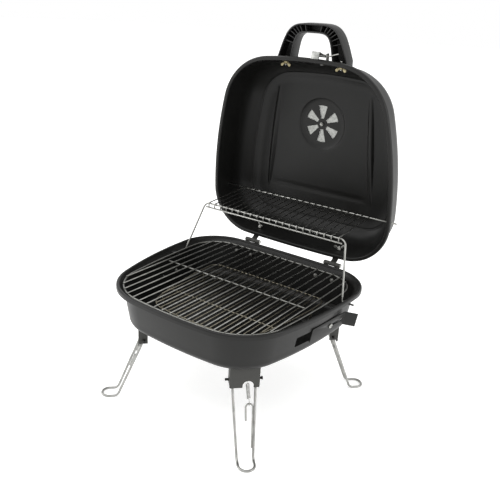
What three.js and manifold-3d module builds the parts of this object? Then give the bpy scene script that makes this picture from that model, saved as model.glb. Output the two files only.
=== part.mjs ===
// A folding camp grill: a bowl on four folding wire legs, a hinged lid with a warming rack, and two grates.
// Millimetres, +Z up, the front towards -Y. Each piece is one closed solid in one named mesh.
import * as THREE from 'three';
import Module from 'manifold-3d';
import { mergeVertices } from 'three/addons/utils/BufferGeometryUtils.js';

const wasm = await Module();
wasm.setup();
const degrees = Math.PI / 180;

// Plan outline of the rims: five arcs from the front centre to the rear centre, widest near the rear
const rimWidth = 370;
const frontCornerRadius = 100;
const rearCornerRadius = 80;
const sideRadius = 700;
const frontBulgeTurn = 5.3 * degrees;
const sideTurn = 15 * degrees;
const rearBulgeTurn = 2 * degrees;
const outlineSteps = [2, 4, 3, 5, 1];
const sideArc = 2;

// Clearances
const gap = 0.3;
const holeClearance = 0.4;
const overrun = 6;
const weld = 0.5;
const weldShare = 0.65;
const seatGap = 0.4;
const strapLift = 1.1;
const boltTail = 2;
const mergeDistance = 0.0001;

// How finely round shapes are cut
const wireSides = 6;
const grateWireSides = 4;
const rodSides = 8;
const nutSides = 6;
const boreSides = 8;
const discSides = 20;
const arcSegments = 8;
const wedgeArcSegments = 2;
const bendSegments = 2;
const sharpestMitreShare = 0.5;

// Bowl: pressed sheet, its rim rolled outwards over a short lip
const sheet = 1;
const bowlDepth = 72;
const bowlFilletRadius = 13;
const bowlFilletSteps = 3;
const bowlWallTopInset = 12.4;
const bowlWallTopDrop = 9.5;
const bowlWallBottomInset = 20.5;
const rimBeadRadius = 2.5;
const rimBeadSteps = 4;
const rimLipDrop = 7.5;
const grateTabPlaceShare = 0.11;
const grateTabRootInset = 10.6;
const grateTabLength = 16.5;
const grateTabWidth = 8;
const grateTabThickness = 1.5;

// Lid: pressed sheet with a flat flange that ends in an upturned lip
const lidHeight = 86;
const lidFilletRadius = 44;
const lidFilletSteps = 5;
const lidWallInset = 8;
const lidWallFootInset = 5;
const lidWallFootRise = 9;
const lidFootRadius = 2;
const lidFlangeOverhang = 2.5;
const lidFlangeRise = 1.1;
const lidLipHeight = 4.5;
const lidOpenAngle = 86.5 * degrees;

// Stiffening ribs pressed into the lid top
const ribInset = 82;
const ribTurn = 5.5 * degrees;
const ribLength = 215;
const ribWidth = 13;
const ribDepth = 6;
const ribCentreY = -12;
const ribSegments = 10;
const ribRings = 6;

// Lid vent: six wedge openings in a raised round field, and a damper disc outside
const ventCentreY = -47;
const ventFieldRadius = 47;
const ventFieldRise = 1.5;
const wedgeInnerRadius = 10;
const wedgeOuterRadius = 34;
const wedgeCount = 6;
const wedgeAngle = 30 * degrees;
const damperRadius = 39;
const damperThickness = 1;
const damperTabWidth = 12;
const damperTabHeight = 9;
const damperTabReach = 4;

// Hinges
const hingeBehindRim = 12;
const hingeDrop = 2.4;
const hingeInset = 96.1;
const hingeSpacing = rimWidth - 2 * hingeInset;
const hingePinRadius = 2;
const knuckleRadius = 4;
const hingeArmWidth = 10;
const hingeArmOffset = 11;
const hingeTongueWidth = 11;
const hingePinHeadRadius = 3.5;
const hingePinHeadThickness = 1.5;
const strapThickness = 1.6;
const bowlStrapWidth = 48;
const bowlStrapTop = 13;
const bowlStrapHeight = 20;
const bowlBoltSpacing = 34;
const bowlBoltDrop = 21;
const lidStrapWidth = 33;
const lidStrapBottom = 12;
const lidStrapHeight = 20;
const lidBoltRise = 22;
const boltRadius = 2;
const boltHeadRadius = 3.6;
const boltHeadThickness = 2;
const nutRadius = 3.7;
const nutThickness = 3;
const wingSpan = 21;
const wingHeight = 9;
const wingThickness = 2;
const wingTip = 4;
const wingHub = 5;
const wingValley = 1;
const knuckleGrip = 2.4;
const bowlElbowReach = 9.5;
const bowlElbowDrop = 8.1;
const lidElbowReach = 6.6;
const lidElbowRise = 11;

// Cooking grate and charcoal grate
const grateInset = 25;
const grateFrontInset = 12;
const grateDrop = 5;
const grateEdgeRoom = 6;
const frameWireRadius = 1.5;
const grateWireRadius = 1.15;
const grateWirePitch = 16;
const grateBarY = -5;
const grateBarEndInset = 2;
const coalInset = 64;
const coalDrop = 38;
const coalWireRadius = 1;
const coalWirePitch = 8.6;
const coalBarY = -38;
const coalBarEndInset = 3.3;
const coalFootY = 66;
const coalFootShare = 0.94;

// Warming rack and brace: with the hinge they make a parallelogram, so the rack stays level
const braceFootY = 70;
const braceFootDrop = 12;
const braceLean = 32;
const braceHeight = 92.4;
const braceFootInset = 2.2;
const braceTopInset = 38;
const braceTopHalfWidth = rimWidth / 2 - braceTopInset;
const braceWireRadius = 1.6;
const braceBend = 9;
const braceFootBend = 2;
const rackLipBend = 2.5;
const bracePivotReach = 16.8;
const rackEdgeRoom = 8;
const rackWirePitch = 13.6;
const rackWireRadius = 1.1;
const rackBarRadius = 1.5;
const rackLipDrop = 6;
const rackLipReach = 4.5;
const rackRodReach = 9;
const rackOverhang = 2;
const rackBarOverhang = 7;

// Side vents and their sliders
const ventSlotStartY = -47;
const ventSlotLength = 52;
const ventSlotHeight = 17;
const ventSlotDrop = 43;
const sliderStart = -42;
const sliderLength = 90;
const sliderHeight = 25;
const sliderThickness = 1.2;
const sliderTabReach = 22;
const sliderTabTurn = 52 * degrees;
const sliderScrewPlace = 9;
const sliderTravel = 34;
const leftSliderShift = -30;
const sliderHeading = 84 * degrees;
const screwHeadRadius = 4.2;
const sliderNutDrop = 0.9;

// Carry handle: a moulded arch, open as a channel towards the rim, with cross ribs
const handleHalfWidth = 68;
const handleHeight = 56;
const handleBow = { power: 4.4, taper: 0.3 };
const handleLegWidth = 28;
const gripHalfWidth = handleHalfWidth - handleLegWidth;
const gripHeight = 41;
const gripBow = { power: 5, taper: 0.2 };
const handleBaseY = -169;
const handleRootDepth = 14;
const handleFootThickness = 5;
const handleDepth = 24;
const handleRise = 31;
const handleBoltRise = 39;
const handleBowSteps = 12;
const handleRibDrop = 2;
const handleWall = 2.5;
const handleRibCount = 14;
const handleRibThickness = 1.4;
const handleBoltInset = 13;
const handleBoltOffset = handleHalfWidth - handleBoltInset;

// Latch on the front of the lid
const latchX = 31;
const latchPlateWidth = 14;
const latchEarSpacing = 19;
const latchEarHeight = 9;
const latchRivetRadius = 1.5;
const latchThickness = 1;
const latchPinRise = 15;
const latchPinY = -177;
const latchPinRadius = 1.2;
const latchHookReach = 12;
const latchDrop = 24.6;
const latchSwing = 20 * degrees;
const latchLeverReach = 15;
const latchLeverDrop = 5;
const latchPinOverhang = 4;
const latchBackLift = 0.3;
const latchRivetDepth = 2;

// Legs, pivoted in brackets under the bowl's corners
const bracketInset = 44;
const bracketWidth = 46;
const bracketHeight = 37;
const bracketDepth = 8.7;
const bracketEarReach = 6;
const bracketWebReach = 15;
const bracketSheet = 1.5;
const bracketNotchRadius = 8.5;
const bracketNotchX = 5.5;
const legPivotDrop = 25;
const legPinRadius = 2;
const legPinLength = 58;
const legWireRadius = 2;
const legTopHalfWidth = 18.4;
const legBottomHalfWidth = 12.5;
const legEyeRadius = 4.6;
const legEyeWidth = 4;
const legEyeWall = 1;
const legLength = 121;
const legSplay = 22.5 * degrees;
const footLength = 26;
const ankleBend = 7;
const footBend = 10;
const bracketRivetRadius = 2.4;
const bracketRivetInset = 9;
const rivetHeadThickness = 1.8;

// Leg spring and the hook wire that it pulls on
const springRadius = 2.6;
const springWireRadius = 0.55;
const springPitch = 1.9;
const springCurls = 7;
const springSteps = 8;
const springSides = 5;
const springTopX = 5;
const springClearance = 0.35;
const springTail = 1.2;
const hookWireRadius = 1.4;
const hookCrownDrop = 38.4;
const hookBend = 5.6;
const hookCrownSteps = 6;
const hookShortArm = 20;
const hookLongArm = 61;

const paints = {
  enamel: { color: 0x3a3a38, roughness: 0.42, metalness: 0.2 },
  blackSteel: { color: 0x2c2c2b, roughness: 0.5, metalness: 0.3 },
  chrome: { color: 0xc4c4c0, roughness: 0.25, metalness: 1 },
  zinc: { color: 0xb9bab6, roughness: 0.4, metalness: 1 },
  brass: { color: 0xc9b264, roughness: 0.35, metalness: 1 },
  plastic: { color: 0x232323, roughness: 0.55, metalness: 0 },
};

const grill = new THREE.Group();

function addPiece(name, solid, paint, parent = grill) {
  const material = new THREE.MeshStandardMaterial({ ...paints[paint], name: paint });
  const mesh = new THREE.Mesh(toGeometry(solid), material);
  mesh.name = name;
  parent.add(mesh);
  return mesh;
}

// Solids and geometries

function toSolid(geometry) {
  const bare = geometry.index ? geometry.clone() : geometry;
  bare.deleteAttribute('normal');
  bare.deleteAttribute('uv');
  const merged = mergeVertices(bare, mergeDistance);
  const vertProperties = new Float32Array(merged.attributes.position.array);
  const triVerts = new Uint32Array(merged.index.array);
  return new wasm.Manifold(new wasm.Mesh({ numProp: 3, vertProperties, triVerts }));
}

function toGeometry(solid) {
  const mesh = solid.getMesh();
  const geometry = new THREE.BufferGeometry();
  geometry.setAttribute('position', new THREE.BufferAttribute(new Float32Array(mesh.vertProperties), 3));
  geometry.setIndex(new THREE.BufferAttribute(new Uint32Array(mesh.triVerts), 1));
  geometry.computeVertexNormals();
  return geometry;
}

function join(...solids) {
  return solids.flat().reduce((whole, next) => whole.add(next));
}

function cut(solid, ...tools) {
  return tools.flat().reduce((whole, next) => whole.subtract(next), solid);
}

function box(sizeX, sizeY, sizeZ, x = 0, y = 0, z = 0) {
  return toSolid(new THREE.BoxGeometry(sizeX, sizeY, sizeZ).translate(x, y, z));
}

// A cylinder between two points
function rod(from, to, radius, sides = rodSides) {
  const start = new THREE.Vector3(...from);
  const end = new THREE.Vector3(...to);
  const along = end.clone().sub(start);
  const geometry = new THREE.CylinderGeometry(radius, radius, along.length(), sides);
  const turn = new THREE.Quaternion().setFromUnitVectors(new THREE.Vector3(0, 1, 0), along.normalize());
  geometry.applyQuaternion(turn);
  geometry.translate(...start.add(end).multiplyScalar(0.5).toArray());
  return toSolid(geometry);
}

// An outline drawn in its own plane and given a thickness along that plane's normal
function plate(shape, thickness, curveSegments = arcSegments) {
  const settings = { depth: thickness, bevelEnabled: false, curveSegments };
  return toSolid(new THREE.ExtrudeGeometry(shape, settings));
}

function polygon(points) {
  return new THREE.Shape(points.map(([x, y]) => new THREE.Vector2(x, y)));
}

// A strip of sheet bent along a side profile in the Y-Z plane, centred on x
function bentStrip(profile, thickness, width, x) {
  const left = [];
  const right = [];
  profile.forEach((point, i) => {
    const side = mitre(profile, i);
    left.push([point[0] + side[0] * thickness / 2, point[1] + side[1] * thickness / 2]);
    right.unshift([point[0] - side[0] * thickness / 2, point[1] - side[1] * thickness / 2]);
  });
  const strip = plate(polygon([...left, ...right]), width);
  return strip.transform(matrixOf(new THREE.Matrix4().set(
    0, 0, 1, x - width / 2,
    1, 0, 0, 0,
    0, 1, 0, 0,
    0, 0, 0, 1,
  )));
}

function matrixOf(matrix) {
  return [...matrix.elements];
}

function moved(solid, x, y, z) {
  return solid.transform(matrixOf(new THREE.Matrix4().makeTranslation(x, y, z)));
}

function mirrored(solid) {
  return solid.transform(matrixOf(new THREE.Matrix4().makeScale(-1, 1, 1)));
}

// The sideways offset at a corner of an open polyline, for a wall of even thickness
function mitre(points, i) {
  const before = points[Math.max(i - 1, 0)];
  const here = points[i];
  const after = points[Math.min(i + 1, points.length - 1)];
  const first = unit([here[0] - before[0], here[1] - before[1]]);
  const second = unit([after[0] - here[0], after[1] - here[1]]);
  const into = i === 0 ? second : first;
  const out = i === points.length - 1 ? first : second;
  const normalIn = [-into[1], into[0]];
  const normalOut = [-out[1], out[0]];
  const sum = unit([normalIn[0] + normalOut[0], normalIn[1] + normalOut[1]]);
  const reach = 1 / Math.max(sum[0] * normalIn[0] + sum[1] * normalIn[1], sharpestMitreShare);
  return [sum[0] * reach, sum[1] * reach];
}

function unit(v) {
  const length = Math.hypot(v[0], v[1]);
  return length ? [v[0] / length, v[1] / length] : [0, 0];
}

// A round wire along points, its corners rounded, as a tube with flat ends or a closed ring.
// Its flats face flatTo at the start, or, where steady, all along.
const plainWire = {
  bend: 0,
  bendSteps: bendSegments,
  sides: wireSides,
  ring: false,
  flatTo: [0, 0, 1],
  steady: false,
};

function wire(points, radius, choices = {}) {
  const { bend, bendSteps, sides, ring, flatTo, steady } = { ...plainWire, ...choices };
  const path = bend ? roundCorners(points, bend, bendSteps) : points;
  return toSolid(tube(path.map((p) => new THREE.Vector3(...p)), radius, { sides, ring, flatTo, steady }));
}

function roundCorners(points, bend, steps) {
  const path = [points[0]];
  for (let i = 1; i < points.length - 1; i += 1) {
    const corner = new THREE.Vector3(...points[i]);
    const back = new THREE.Vector3(...points[i - 1]).sub(corner);
    const ahead = new THREE.Vector3(...points[i + 1]).sub(corner);
    const wanted = Array.isArray(bend) ? bend[i - 1] : bend;
    const reach = Math.min(wanted, back.length() / 2, ahead.length() / 2);
    const start = corner.clone().addScaledVector(back.normalize(), reach);
    const end = corner.clone().addScaledVector(ahead.normalize(), reach);
    const curve = new THREE.QuadraticBezierCurve3(start, corner, end);
    curve.getPoints(steps).forEach((p) => path.push(p.toArray()));
  }
  path.push(points[points.length - 1]);
  return path;
}

function tube(path, radius, { sides, ring, flatTo, steady }) {
  const count = path.length;
  const sideways = (tangent) => new THREE.Vector3(...flatTo).cross(tangent).normalize();
  const tangents = path.map((p, i) => {
    const before = path[ring ? (i + count - 1) % count : Math.max(i - 1, 0)];
    const after = path[ring ? (i + 1) % count : Math.min(i + 1, count - 1)];
    const into = p.clone().sub(before).normalize();
    const out = after.clone().sub(p).normalize();
    return into.add(out).normalize();
  });
  let side = sideways(tangents[0]);
  const positions = [];
  path.forEach((p, i) => {
    const carried = side.clone().addScaledVector(tangents[i], -side.dot(tangents[i])).normalize();
    side = steady ? sideways(tangents[i]) : carried;
    const up = tangents[i].clone().cross(side);
    for (let k = 0; k < sides; k += 1) {
      const angle = (2 * k + 1) * Math.PI / sides - Math.PI / 2;
      const q = p.clone().addScaledVector(side, radius * Math.cos(angle));
      q.addScaledVector(up, radius * Math.sin(angle));
      positions.push(q.x, q.y, q.z);
    }
  });
  const index = [];
  const spans = ring ? count : count - 1;
  for (let i = 0; i < spans; i += 1) {
    for (let k = 0; k < sides; k += 1) {
      const a = i * sides + k;
      const b = i * sides + (k + 1) % sides;
      const c = ((i + 1) % count) * sides + k;
      const d = ((i + 1) % count) * sides + (k + 1) % sides;
      index.push(a, b, c, b, d, c);
    }
  }
  if (!ring) {
    for (let k = 1; k < sides - 1; k += 1) {
      index.push(0, k + 1, k);
      const last = (count - 1) * sides;
      index.push(last, last + k, last + k + 1);
    }
  }
  const geometry = new THREE.BufferGeometry();
  geometry.setAttribute('position', new THREE.Float32BufferAttribute(positions, 3));
  geometry.setIndex(index);
  return geometry;
}

// Plan outline, offset inwards by an inset: the same arcs with smaller radii

function outlineArcs() {
  const turns = [0, frontBulgeTurn, Math.PI / 2 - sideTurn, Math.PI / 2, Math.PI - rearBulgeTurn, Math.PI];
  const spanX = (i) => Math.sin(turns[i + 1]) - Math.sin(turns[i]);
  const frontRest = rimWidth / 2 - frontCornerRadius * spanX(1) - sideRadius * spanX(2);
  const rearRest = rimWidth / 2 + rearCornerRadius * spanX(3);
  const radii = [frontRest / spanX(0), frontCornerRadius, sideRadius, rearCornerRadius, -rearRest / spanX(4)];
  return { turns, radii };
}

const { turns: arcTurns, radii: arcRadii } = outlineArcs();
const arcRise = (r, i) => r * (Math.cos(arcTurns[i]) - Math.cos(arcTurns[i + 1]));
const rimDepth = arcRadii.reduce((sum, r, i) => sum + arcRise(r, i), 0);

function arcStart(index) {
  let x = 0;
  let y = -rimDepth / 2;
  for (let i = 0; i < index; i += 1) {
    x += arcRadii[i] * (Math.sin(arcTurns[i + 1]) - Math.sin(arcTurns[i]));
    y += arcRise(arcRadii[i], i);
  }
  return [x, y];
}

function arcCentre(index) {
  const [x, y] = arcStart(index);
  return [x - arcRadii[index] * Math.sin(arcTurns[index]), y + arcRadii[index] * Math.cos(arcTurns[index])];
}

// Points round the rims' outline, drawn in by an inset that can change along the sides to another at the front
function outline(inset, frontInset = inset) {
  const half = [];
  for (let i = 0; i < arcRadii.length; i += 1) {
    const [cx, cy] = arcCentre(i);
    for (let k = 0; k < outlineSteps[i]; k += 1) {
      const turn = arcTurns[i] + (arcTurns[i + 1] - arcTurns[i]) * k / outlineSteps[i];
      const onSide = i === sideArc ? (1 - k / outlineSteps[i]) ** 2 : 0;
      const towardsFront = i < sideArc ? 1 : onSide;
      const radius = arcRadii[i] - inset - (frontInset - inset) * towardsFront;
      half.push([cx + radius * Math.sin(turn), cy - radius * Math.cos(turn)]);
    }
  }
  const rear = [0, rimDepth / 2 - inset];
  const left = half.slice(1).reverse().map(([x, y]) => [-x, y]);
  return [...half, rear, ...left];
}

// The front and rear ends of a line x = constant inside the outline
function outlineSpan(inset, x, frontInset = inset) {
  const points = outline(inset, frontInset);
  const crossings = [];
  points.forEach(([x1, y1], i) => {
    const [x2, y2] = points[(i + 1) % points.length];
    if ((x1 - x) * (x2 - x) < 0) {
      crossings.push(y1 + (y2 - y1) * (x - x1) / (x2 - x1));
    } else if (x1 === x) {
      crossings.push(y1);
    }
  });
  return [Math.min(...crossings), Math.max(...crossings)];
}

// Half the width of the outline at a given y
function outlineHalfWidth(inset, y) {
  const points = outline(inset);
  let widest = 0;
  points.forEach(([x1, y1], i) => {
    const [x2, y2] = points[(i + 1) % points.length];
    if ((y1 - y) * (y2 - y) <= 0 && y1 !== y2) {
      widest = Math.max(widest, x1 + (x2 - x1) * (y - y1) / (y2 - y1));
    }
  });
  return widest;
}

// A pressed shell: a section path of [inset, z] from the flat's edge to the free edge, given a thickness
function pressedShell(path, thickness) {
  const offset = (side) => path.map((p, i) => {
    const normal = i === 0 ? [0, Math.sign(mitre(path, 1)[1])] : mitre(path, i);
    return [p[0] + normal[0] * side * thickness / 2, p[1] + normal[1] * side * thickness / 2];
  });
  return loft([...offset(1), ...offset(-1).reverse()]);
}

// The solid inside a section path, closed by flat caps
function loft(chain) {
  const rings = chain.map(([inset, z]) => outline(inset).map(([x, y]) => [x, y, z]));
  const around = rings[0].length;
  const positions = rings.flat(2);
  const index = [];
  for (let i = 0; i < rings.length - 1; i += 1) {
    for (let k = 0; k < around; k += 1) {
      const a = i * around + k;
      const b = i * around + (k + 1) % around;
      index.push(a, a + around, b, b, a + around, b + around);
    }
  }
  const caps = [[0, chain[0][1]], [rings.length - 1, chain[chain.length - 1][1]]];
  caps.forEach(([ring, z], end) => {
    const centre = positions.length / 3;
    positions.push(0, 0, z);
    for (let k = 0; k < around; k += 1) {
      const a = ring * around + k;
      const b = ring * around + (k + 1) % around;
      if (end) index.push(centre, b, a);
      else index.push(centre, a, b);
    }
  });
  return toSolid(orient(positions, index));
}

// A geometry whose faces point out
function orient(positions, index) {
  let volume = 0;
  const corner = (i) => new THREE.Vector3().fromArray(positions, i * 3);
  for (let i = 0; i < index.length; i += 3) {
    volume += corner(index[i]).dot(corner(index[i + 1]).cross(corner(index[i + 2])));
  }
  if (volume < 0) index.reverse();
  const geometry = new THREE.BufferGeometry();
  geometry.setAttribute('position', new THREE.Float32BufferAttribute(positions, 3));
  geometry.setIndex(index);
  return geometry;
}

function arcPath(centreInset, centreZ, radius, from, to, steps) {
  return Array.from({ length: steps + 1 }, (_, i) => {
    const angle = from + (to - from) * i / steps;
    return [centreInset + radius * Math.cos(angle), centreZ + radius * Math.sin(angle)];
  });
}

// Section paths

const bowlFloorEdge = bowlWallBottomInset + bowlFilletRadius;
const bowlFloorZ = -bowlDepth + sheet / 2;

function bowlPath() {
  const filletZ = bowlFloorZ + bowlFilletRadius;
  const fillet = arcPath(bowlFloorEdge, filletZ, bowlFilletRadius, -Math.PI / 2, -Math.PI, bowlFilletSteps);
  const beadInset = sheet / 2 + rimBeadRadius;
  const bead = arcPath(beadInset, -beadInset, rimBeadRadius, 0, Math.PI, rimBeadSteps);
  return [...fillet, [bowlWallTopInset, -bowlWallTopDrop], ...bead, [sheet / 2, -rimLipDrop]];
}

// The fillet between the lid's wall and top, at a distance outside the middle of the sheet
function lidFillet(outside) {
  const centreInset = lidWallInset + lidFilletRadius;
  const centreZ = lidHeight - sheet / 2 - lidFilletRadius;
  return arcPath(centreInset, centreZ, lidFilletRadius + outside, Math.PI / 2, Math.PI, lidFilletSteps);
}

function lidPath() {
  const flangeZ = lidFlangeRise;
  return [
    ...lidFillet(0),
    [lidWallFootInset, lidWallFootRise],
    [lidWallFootInset - sheet, flangeZ + lidFootRadius],
    [lidWallFootInset - sheet - lidFootRadius, flangeZ],
    [-lidFlangeOverhang + sheet / 2, flangeZ],
    [-lidFlangeOverhang, flangeZ + lidLipHeight],
  ];
}

// Where the outer face of the bowl's wall stands at a drop below the rim, as an inset
const bowlWallDraw = bowlWallBottomInset - bowlWallTopInset;
const bowlWallHeight = bowlDepth - bowlFilletRadius - bowlWallTopDrop;
const bowlWallTilt = Math.atan2(bowlWallDraw, bowlWallHeight);

function bowlWallInset(drop) {
  return bowlWallTopInset + bowlWallDraw * (drop - bowlWallTopDrop) / bowlWallHeight - sheet / 2;
}

// Holes and the bowl

const hingeY = rimDepth / 2 + hingeBehindRim;
const sides = [['left', -1], ['right', 1]];
const rearWallY = (inset, x) => outlineSpan(inset, x)[1];
const lidWallHeight = lidHeight - lidFilletRadius - lidWallFootRise;
const lidWallTilt = Math.atan2(lidWallInset - lidWallFootInset, lidWallHeight);
const bowlRearNormal = [0, Math.cos(bowlWallTilt), -Math.sin(bowlWallTilt)];
const lidRearNormal = [0, Math.cos(lidWallTilt), Math.sin(lidWallTilt)];
const lidFrontNormal = [0, -Math.cos(lidWallTilt), Math.sin(lidWallTilt)];
const bowlBoltX = (s, k) => s * hingeSpacing / 2 + k * bowlBoltSpacing / 2;
const bowlBoltPlaces = sides.flatMap(([side, s]) => [-1, 1].map((k) => [side, k, bowlBoltX(s, k)]));

function legPlaces() {
  const [frontX, frontY] = arcCentre(1);
  const [rearX, rearY] = arcCentre(3);
  const frontReach = (frontCornerRadius - bracketInset) / Math.SQRT2;
  const rearReach = (rearCornerRadius - bracketInset) / Math.SQRT2;
  return [
    ['front_right', frontX + frontReach, frontY - frontReach, 1, -1],
    ['front_left', -frontX - frontReach, frontY - frontReach, -1, -1],
    ['rear_right', rearX + rearReach, rearY + rearReach, 1, 1],
    ['rear_left', -rearX - rearReach, rearY + rearReach, -1, 1],
  ];
}

const ventSlotCentreY = ventSlotStartY + ventSlotLength / 2;
const ventWallX = (y) => outlineHalfWidth(bowlWallInset(ventSlotDrop), y);

function bowlSolid() {
  const tabZ = -grateDrop - frameWireRadius - gap - grateTabThickness / 2;
  const tabs = [-1, 1].flatMap((s) => [-1, 1].map((k) => {
    const y = k * rimDepth * grateTabPlaceShare;
    const x = outlineHalfWidth(grateTabRootInset, y) - grateTabLength / 2;
    return box(grateTabLength, grateTabWidth, grateTabThickness, s * x, y, tabZ);
  }));
  const slots = sides.map(([, s]) => box(overrun * 4, ventSlotLength, ventSlotHeight,
    s * ventWallX(ventSlotCentreY), ventSlotCentreY, -ventSlotDrop));
  const screwHole = onRightWall(rod([0, sliderScrewPlace, -overrun], [0, sliderScrewPlace, overrun],
    boltRadius + holeClearance));
  const screwHoles = [screwHole, mirrored(screwHole)];
  const pivotHoles = sides.map(([, s]) => {
    const x = s * outlineHalfWidth(bowlWallInset(braceFootDrop), braceFootY);
    return rod([x - overrun, braceFootY, -braceFootDrop], [x + overrun, braceFootY, -braceFootDrop],
      braceWireRadius + holeClearance);
  });
  const boltHoles = bowlBoltPlaces.map(([, , x]) => through(bowlBoltSeat(x), bowlRearNormal));
  const rivetHoles = legPlaces().map(([, x, y, sx, sy]) => {
    const reach = bracketRivetInset / Math.SQRT2;
    const place = [x - sx * reach, y - sy * reach];
    const radius = bracketRivetRadius + holeClearance;
    return rod([...place, -bowlDepth - overrun], [...place, -bowlDepth + overrun], radius);
  });
  const pan = join(pressedShell(bowlPath(), sheet), tabs);
  return cut(pan, slots, screwHoles, pivotHoles, boltHoles, rivetHoles);
}

// The lid is built closed, in the bowl's own coordinates, and turned about the hinge at the end

const lidPivot = new THREE.Group();
lidPivot.position.set(0, hingeY, -hingeDrop);
lidPivot.rotation.x = -lidOpenAngle;
const lid = new THREE.Group();
lid.position.set(0, -hingeY, hingeDrop);
lidPivot.add(lid);
grill.add(lidPivot);

const rackRodOffset = [braceLean, braceHeight];

// The rack rod's place on the closed lid: the brace's offset from its foot, turned with the lid
function rackRodOnLid() {
  const c = Math.cos(lidOpenAngle);
  const s = Math.sin(lidOpenAngle);
  const [y, z] = rackRodOffset;
  return [hingeY + y * c - z * s, -hingeDrop + y * s + z * c];
}

function wedge(inner, outer, angle, centre, thickness) {
  const shape = new THREE.Shape();
  shape.absarc(0, 0, outer, centre - angle / 2, centre + angle / 2, false);
  shape.absarc(0, 0, inner, centre + angle / 2, centre - angle / 2, true);
  return plate(shape, thickness, wedgeArcSegments);
}

// The vent's wedges, standing on a plane, the first one at an angle
function ventWedges(first, z) {
  return Array.from({ length: wedgeCount }, (_, i) => {
    const angle = first + i * 2 * Math.PI / wedgeCount;
    const tool = wedge(wedgeInnerRadius, wedgeOuterRadius, wedgeAngle, angle, overrun * 3);
    return moved(tool, 0, ventCentreY, z);
  });
}

// A long lens pressed down into the lid top, as an ellipsoid flattened on its axes
function ribLens(s, shrink) {
  const lens = new THREE.SphereGeometry(1, ribSegments, ribRings);
  lens.scale(ribWidth / 2 - shrink, ribLength / 2 - shrink, ribDepth - shrink);
  lens.rotateZ(-s * ribTurn);
  return toSolid(lens.translate(s * (rimWidth / 2 - ribInset), ribCentreY, lidHeight - sheet));
}

function lidSolid() {
  const shell = pressedShell(lidPath(), sheet);
  const topZ = lidHeight - sheet;
  const field = (radius, from, to) => rod([0, ventCentreY, from], [0, ventCentreY, to], radius, discSides);
  const raised = cut(
    join(shell, field(ventFieldRadius, topZ, lidHeight + ventFieldRise)),
    field(ventFieldRadius - sheet, topZ - overrun, topZ + ventFieldRise),
  );
  const below = box(rimWidth, rimDepth, lidHeight, 0, 0, topZ - lidHeight / 2);
  const lenses = [-1, 1].map((s) => ribLens(s, 0).intersect(below));
  const hollows = [-1, 1].map((s) => ribLens(s, sheet));
  const wedges = ventWedges(Math.PI / 2, topZ - overrun);
  const screwHole = through([0, ventCentreY, topZ], [0, 0, 1]);
  const handleHoles = [-1, 1].map((s) => through(handleBoltSeat(s * handleBoltOffset), lidFrontNormal));
  const strapHoles = [-1, 1].map((s) => through(lidBoltSeat(s * hingeSpacing / 2), lidRearNormal));
  const latchHole = through(latchWallPoint(), lidFrontNormal, latchRivetRadius + holeClearance);
  const [rodY, rodZ] = rackRodOnLid();
  const rodX = outlineHalfWidth(lidWallInset, rodY);
  const rodHole = rackBarRadius + holeClearance;
  const rodHoles = [-1, 1].map((s) => through([s * rodX, rodY, rodZ], [1, 0, 0], rodHole));
  return cut(join(raised, lenses), hollows, wedges, screwHole, handleHoles, strapHoles, rodHoles, latchHole);
}

// Placing helpers

// A solid drawn along local Z, set at a point with its Z along a direction
function placed(solid, point, direction) {
  const z = new THREE.Vector3(...direction).normalize();
  const x = new THREE.Vector3(1, 0, 0);
  x.addScaledVector(z, -x.dot(z)).normalize();
  const y = z.clone().cross(x);
  return solid.transform(matrixOf(new THREE.Matrix4().makeBasis(x, y, z).setPosition(...point)));
}

function along(point, direction, distance) {
  return point.map((value, i) => value + direction[i] * distance);
}

// A bolt hole through a wall, along the wall's normal
function through(point, normal, radius = boltRadius + holeClearance) {
  return rod(along(point, normal, -2 * overrun), along(point, normal, 2 * overrun), radius);
}

// A bolt with its head outside: its shank runs from the head down to a depth under the seat
function bolt(seat, normal, depth, headRadius = boltHeadRadius) {
  const at = (height) => along(seat, normal, height);
  const head = rod(at(seatGap), at(seatGap + boltHeadThickness), headRadius);
  return head.add(rod(at(-depth), at(seatGap + weld), boltRadius));
}

function nutOn(seat, normal, depth) {
  return rod(along(seat, normal, -depth), along(seat, normal, -depth - nutThickness), nutRadius, nutSides);
}

function wingNut() {
  const half = wingSpan / 2;
  const right = [
    [nutRadius, 0],
    [half, wingHeight - wingTip],
    [half - wingTip, wingHeight],
    [nutRadius - wingValley, wingHub],
  ];
  const left = right.map(([x, y]) => [-x, y]).reverse();
  const blades = plate(polygon([...right, ...left]), wingThickness);
  const upright = new THREE.Matrix4().makeRotationX(Math.PI / 2).setPosition(0, wingThickness / 2, 0);
  const hub = rod([0, 0, 0], [0, 0, wingHub], nutRadius);
  return cut(join(hub, blades.transform(matrixOf(upright))), through([0, 0, 0], [0, 0, 1], boltRadius + gap));
}

// Hinges: a strap with two arms on the bowl, a strap with one tongue on the lid, and a pin

function bowlStrapY(drop) {
  return rearWallY(bowlWallInset(drop), hingeSpacing / 2 - bowlStrapWidth / 2) + gap + strapThickness / 2;
}

function bowlBoltSeat(x) {
  return [x, bowlStrapY(bowlBoltDrop) + strapThickness / 2, -bowlBoltDrop];
}

// The inset of the lid wall's outer face at a height above the rim
function lidFaceInset(rise) {
  const share = (rise - lidWallFootRise) / lidWallHeight;
  return lidWallFootInset + (lidWallInset - lidWallFootInset) * share - sheet / 2;
}

function lidStrapY(rise) {
  return rearWallY(lidFaceInset(rise), hingeSpacing / 2 - lidStrapWidth / 2) + gap + strapThickness / 2;
}

function lidBoltSeat(x) {
  return [x, lidStrapY(lidBoltRise) + strapThickness / 2, lidBoltRise];
}

// A round piece on the hinge line, centred on x
function onHinge(x, width, radius) {
  return rod([x - width / 2, hingeY, -hingeDrop], [x + width / 2, hingeY, -hingeDrop], radius, boreSides);
}

function hingeBore(x) {
  return onHinge(x, 2 * bowlStrapWidth, hingePinRadius + gap);
}

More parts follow.
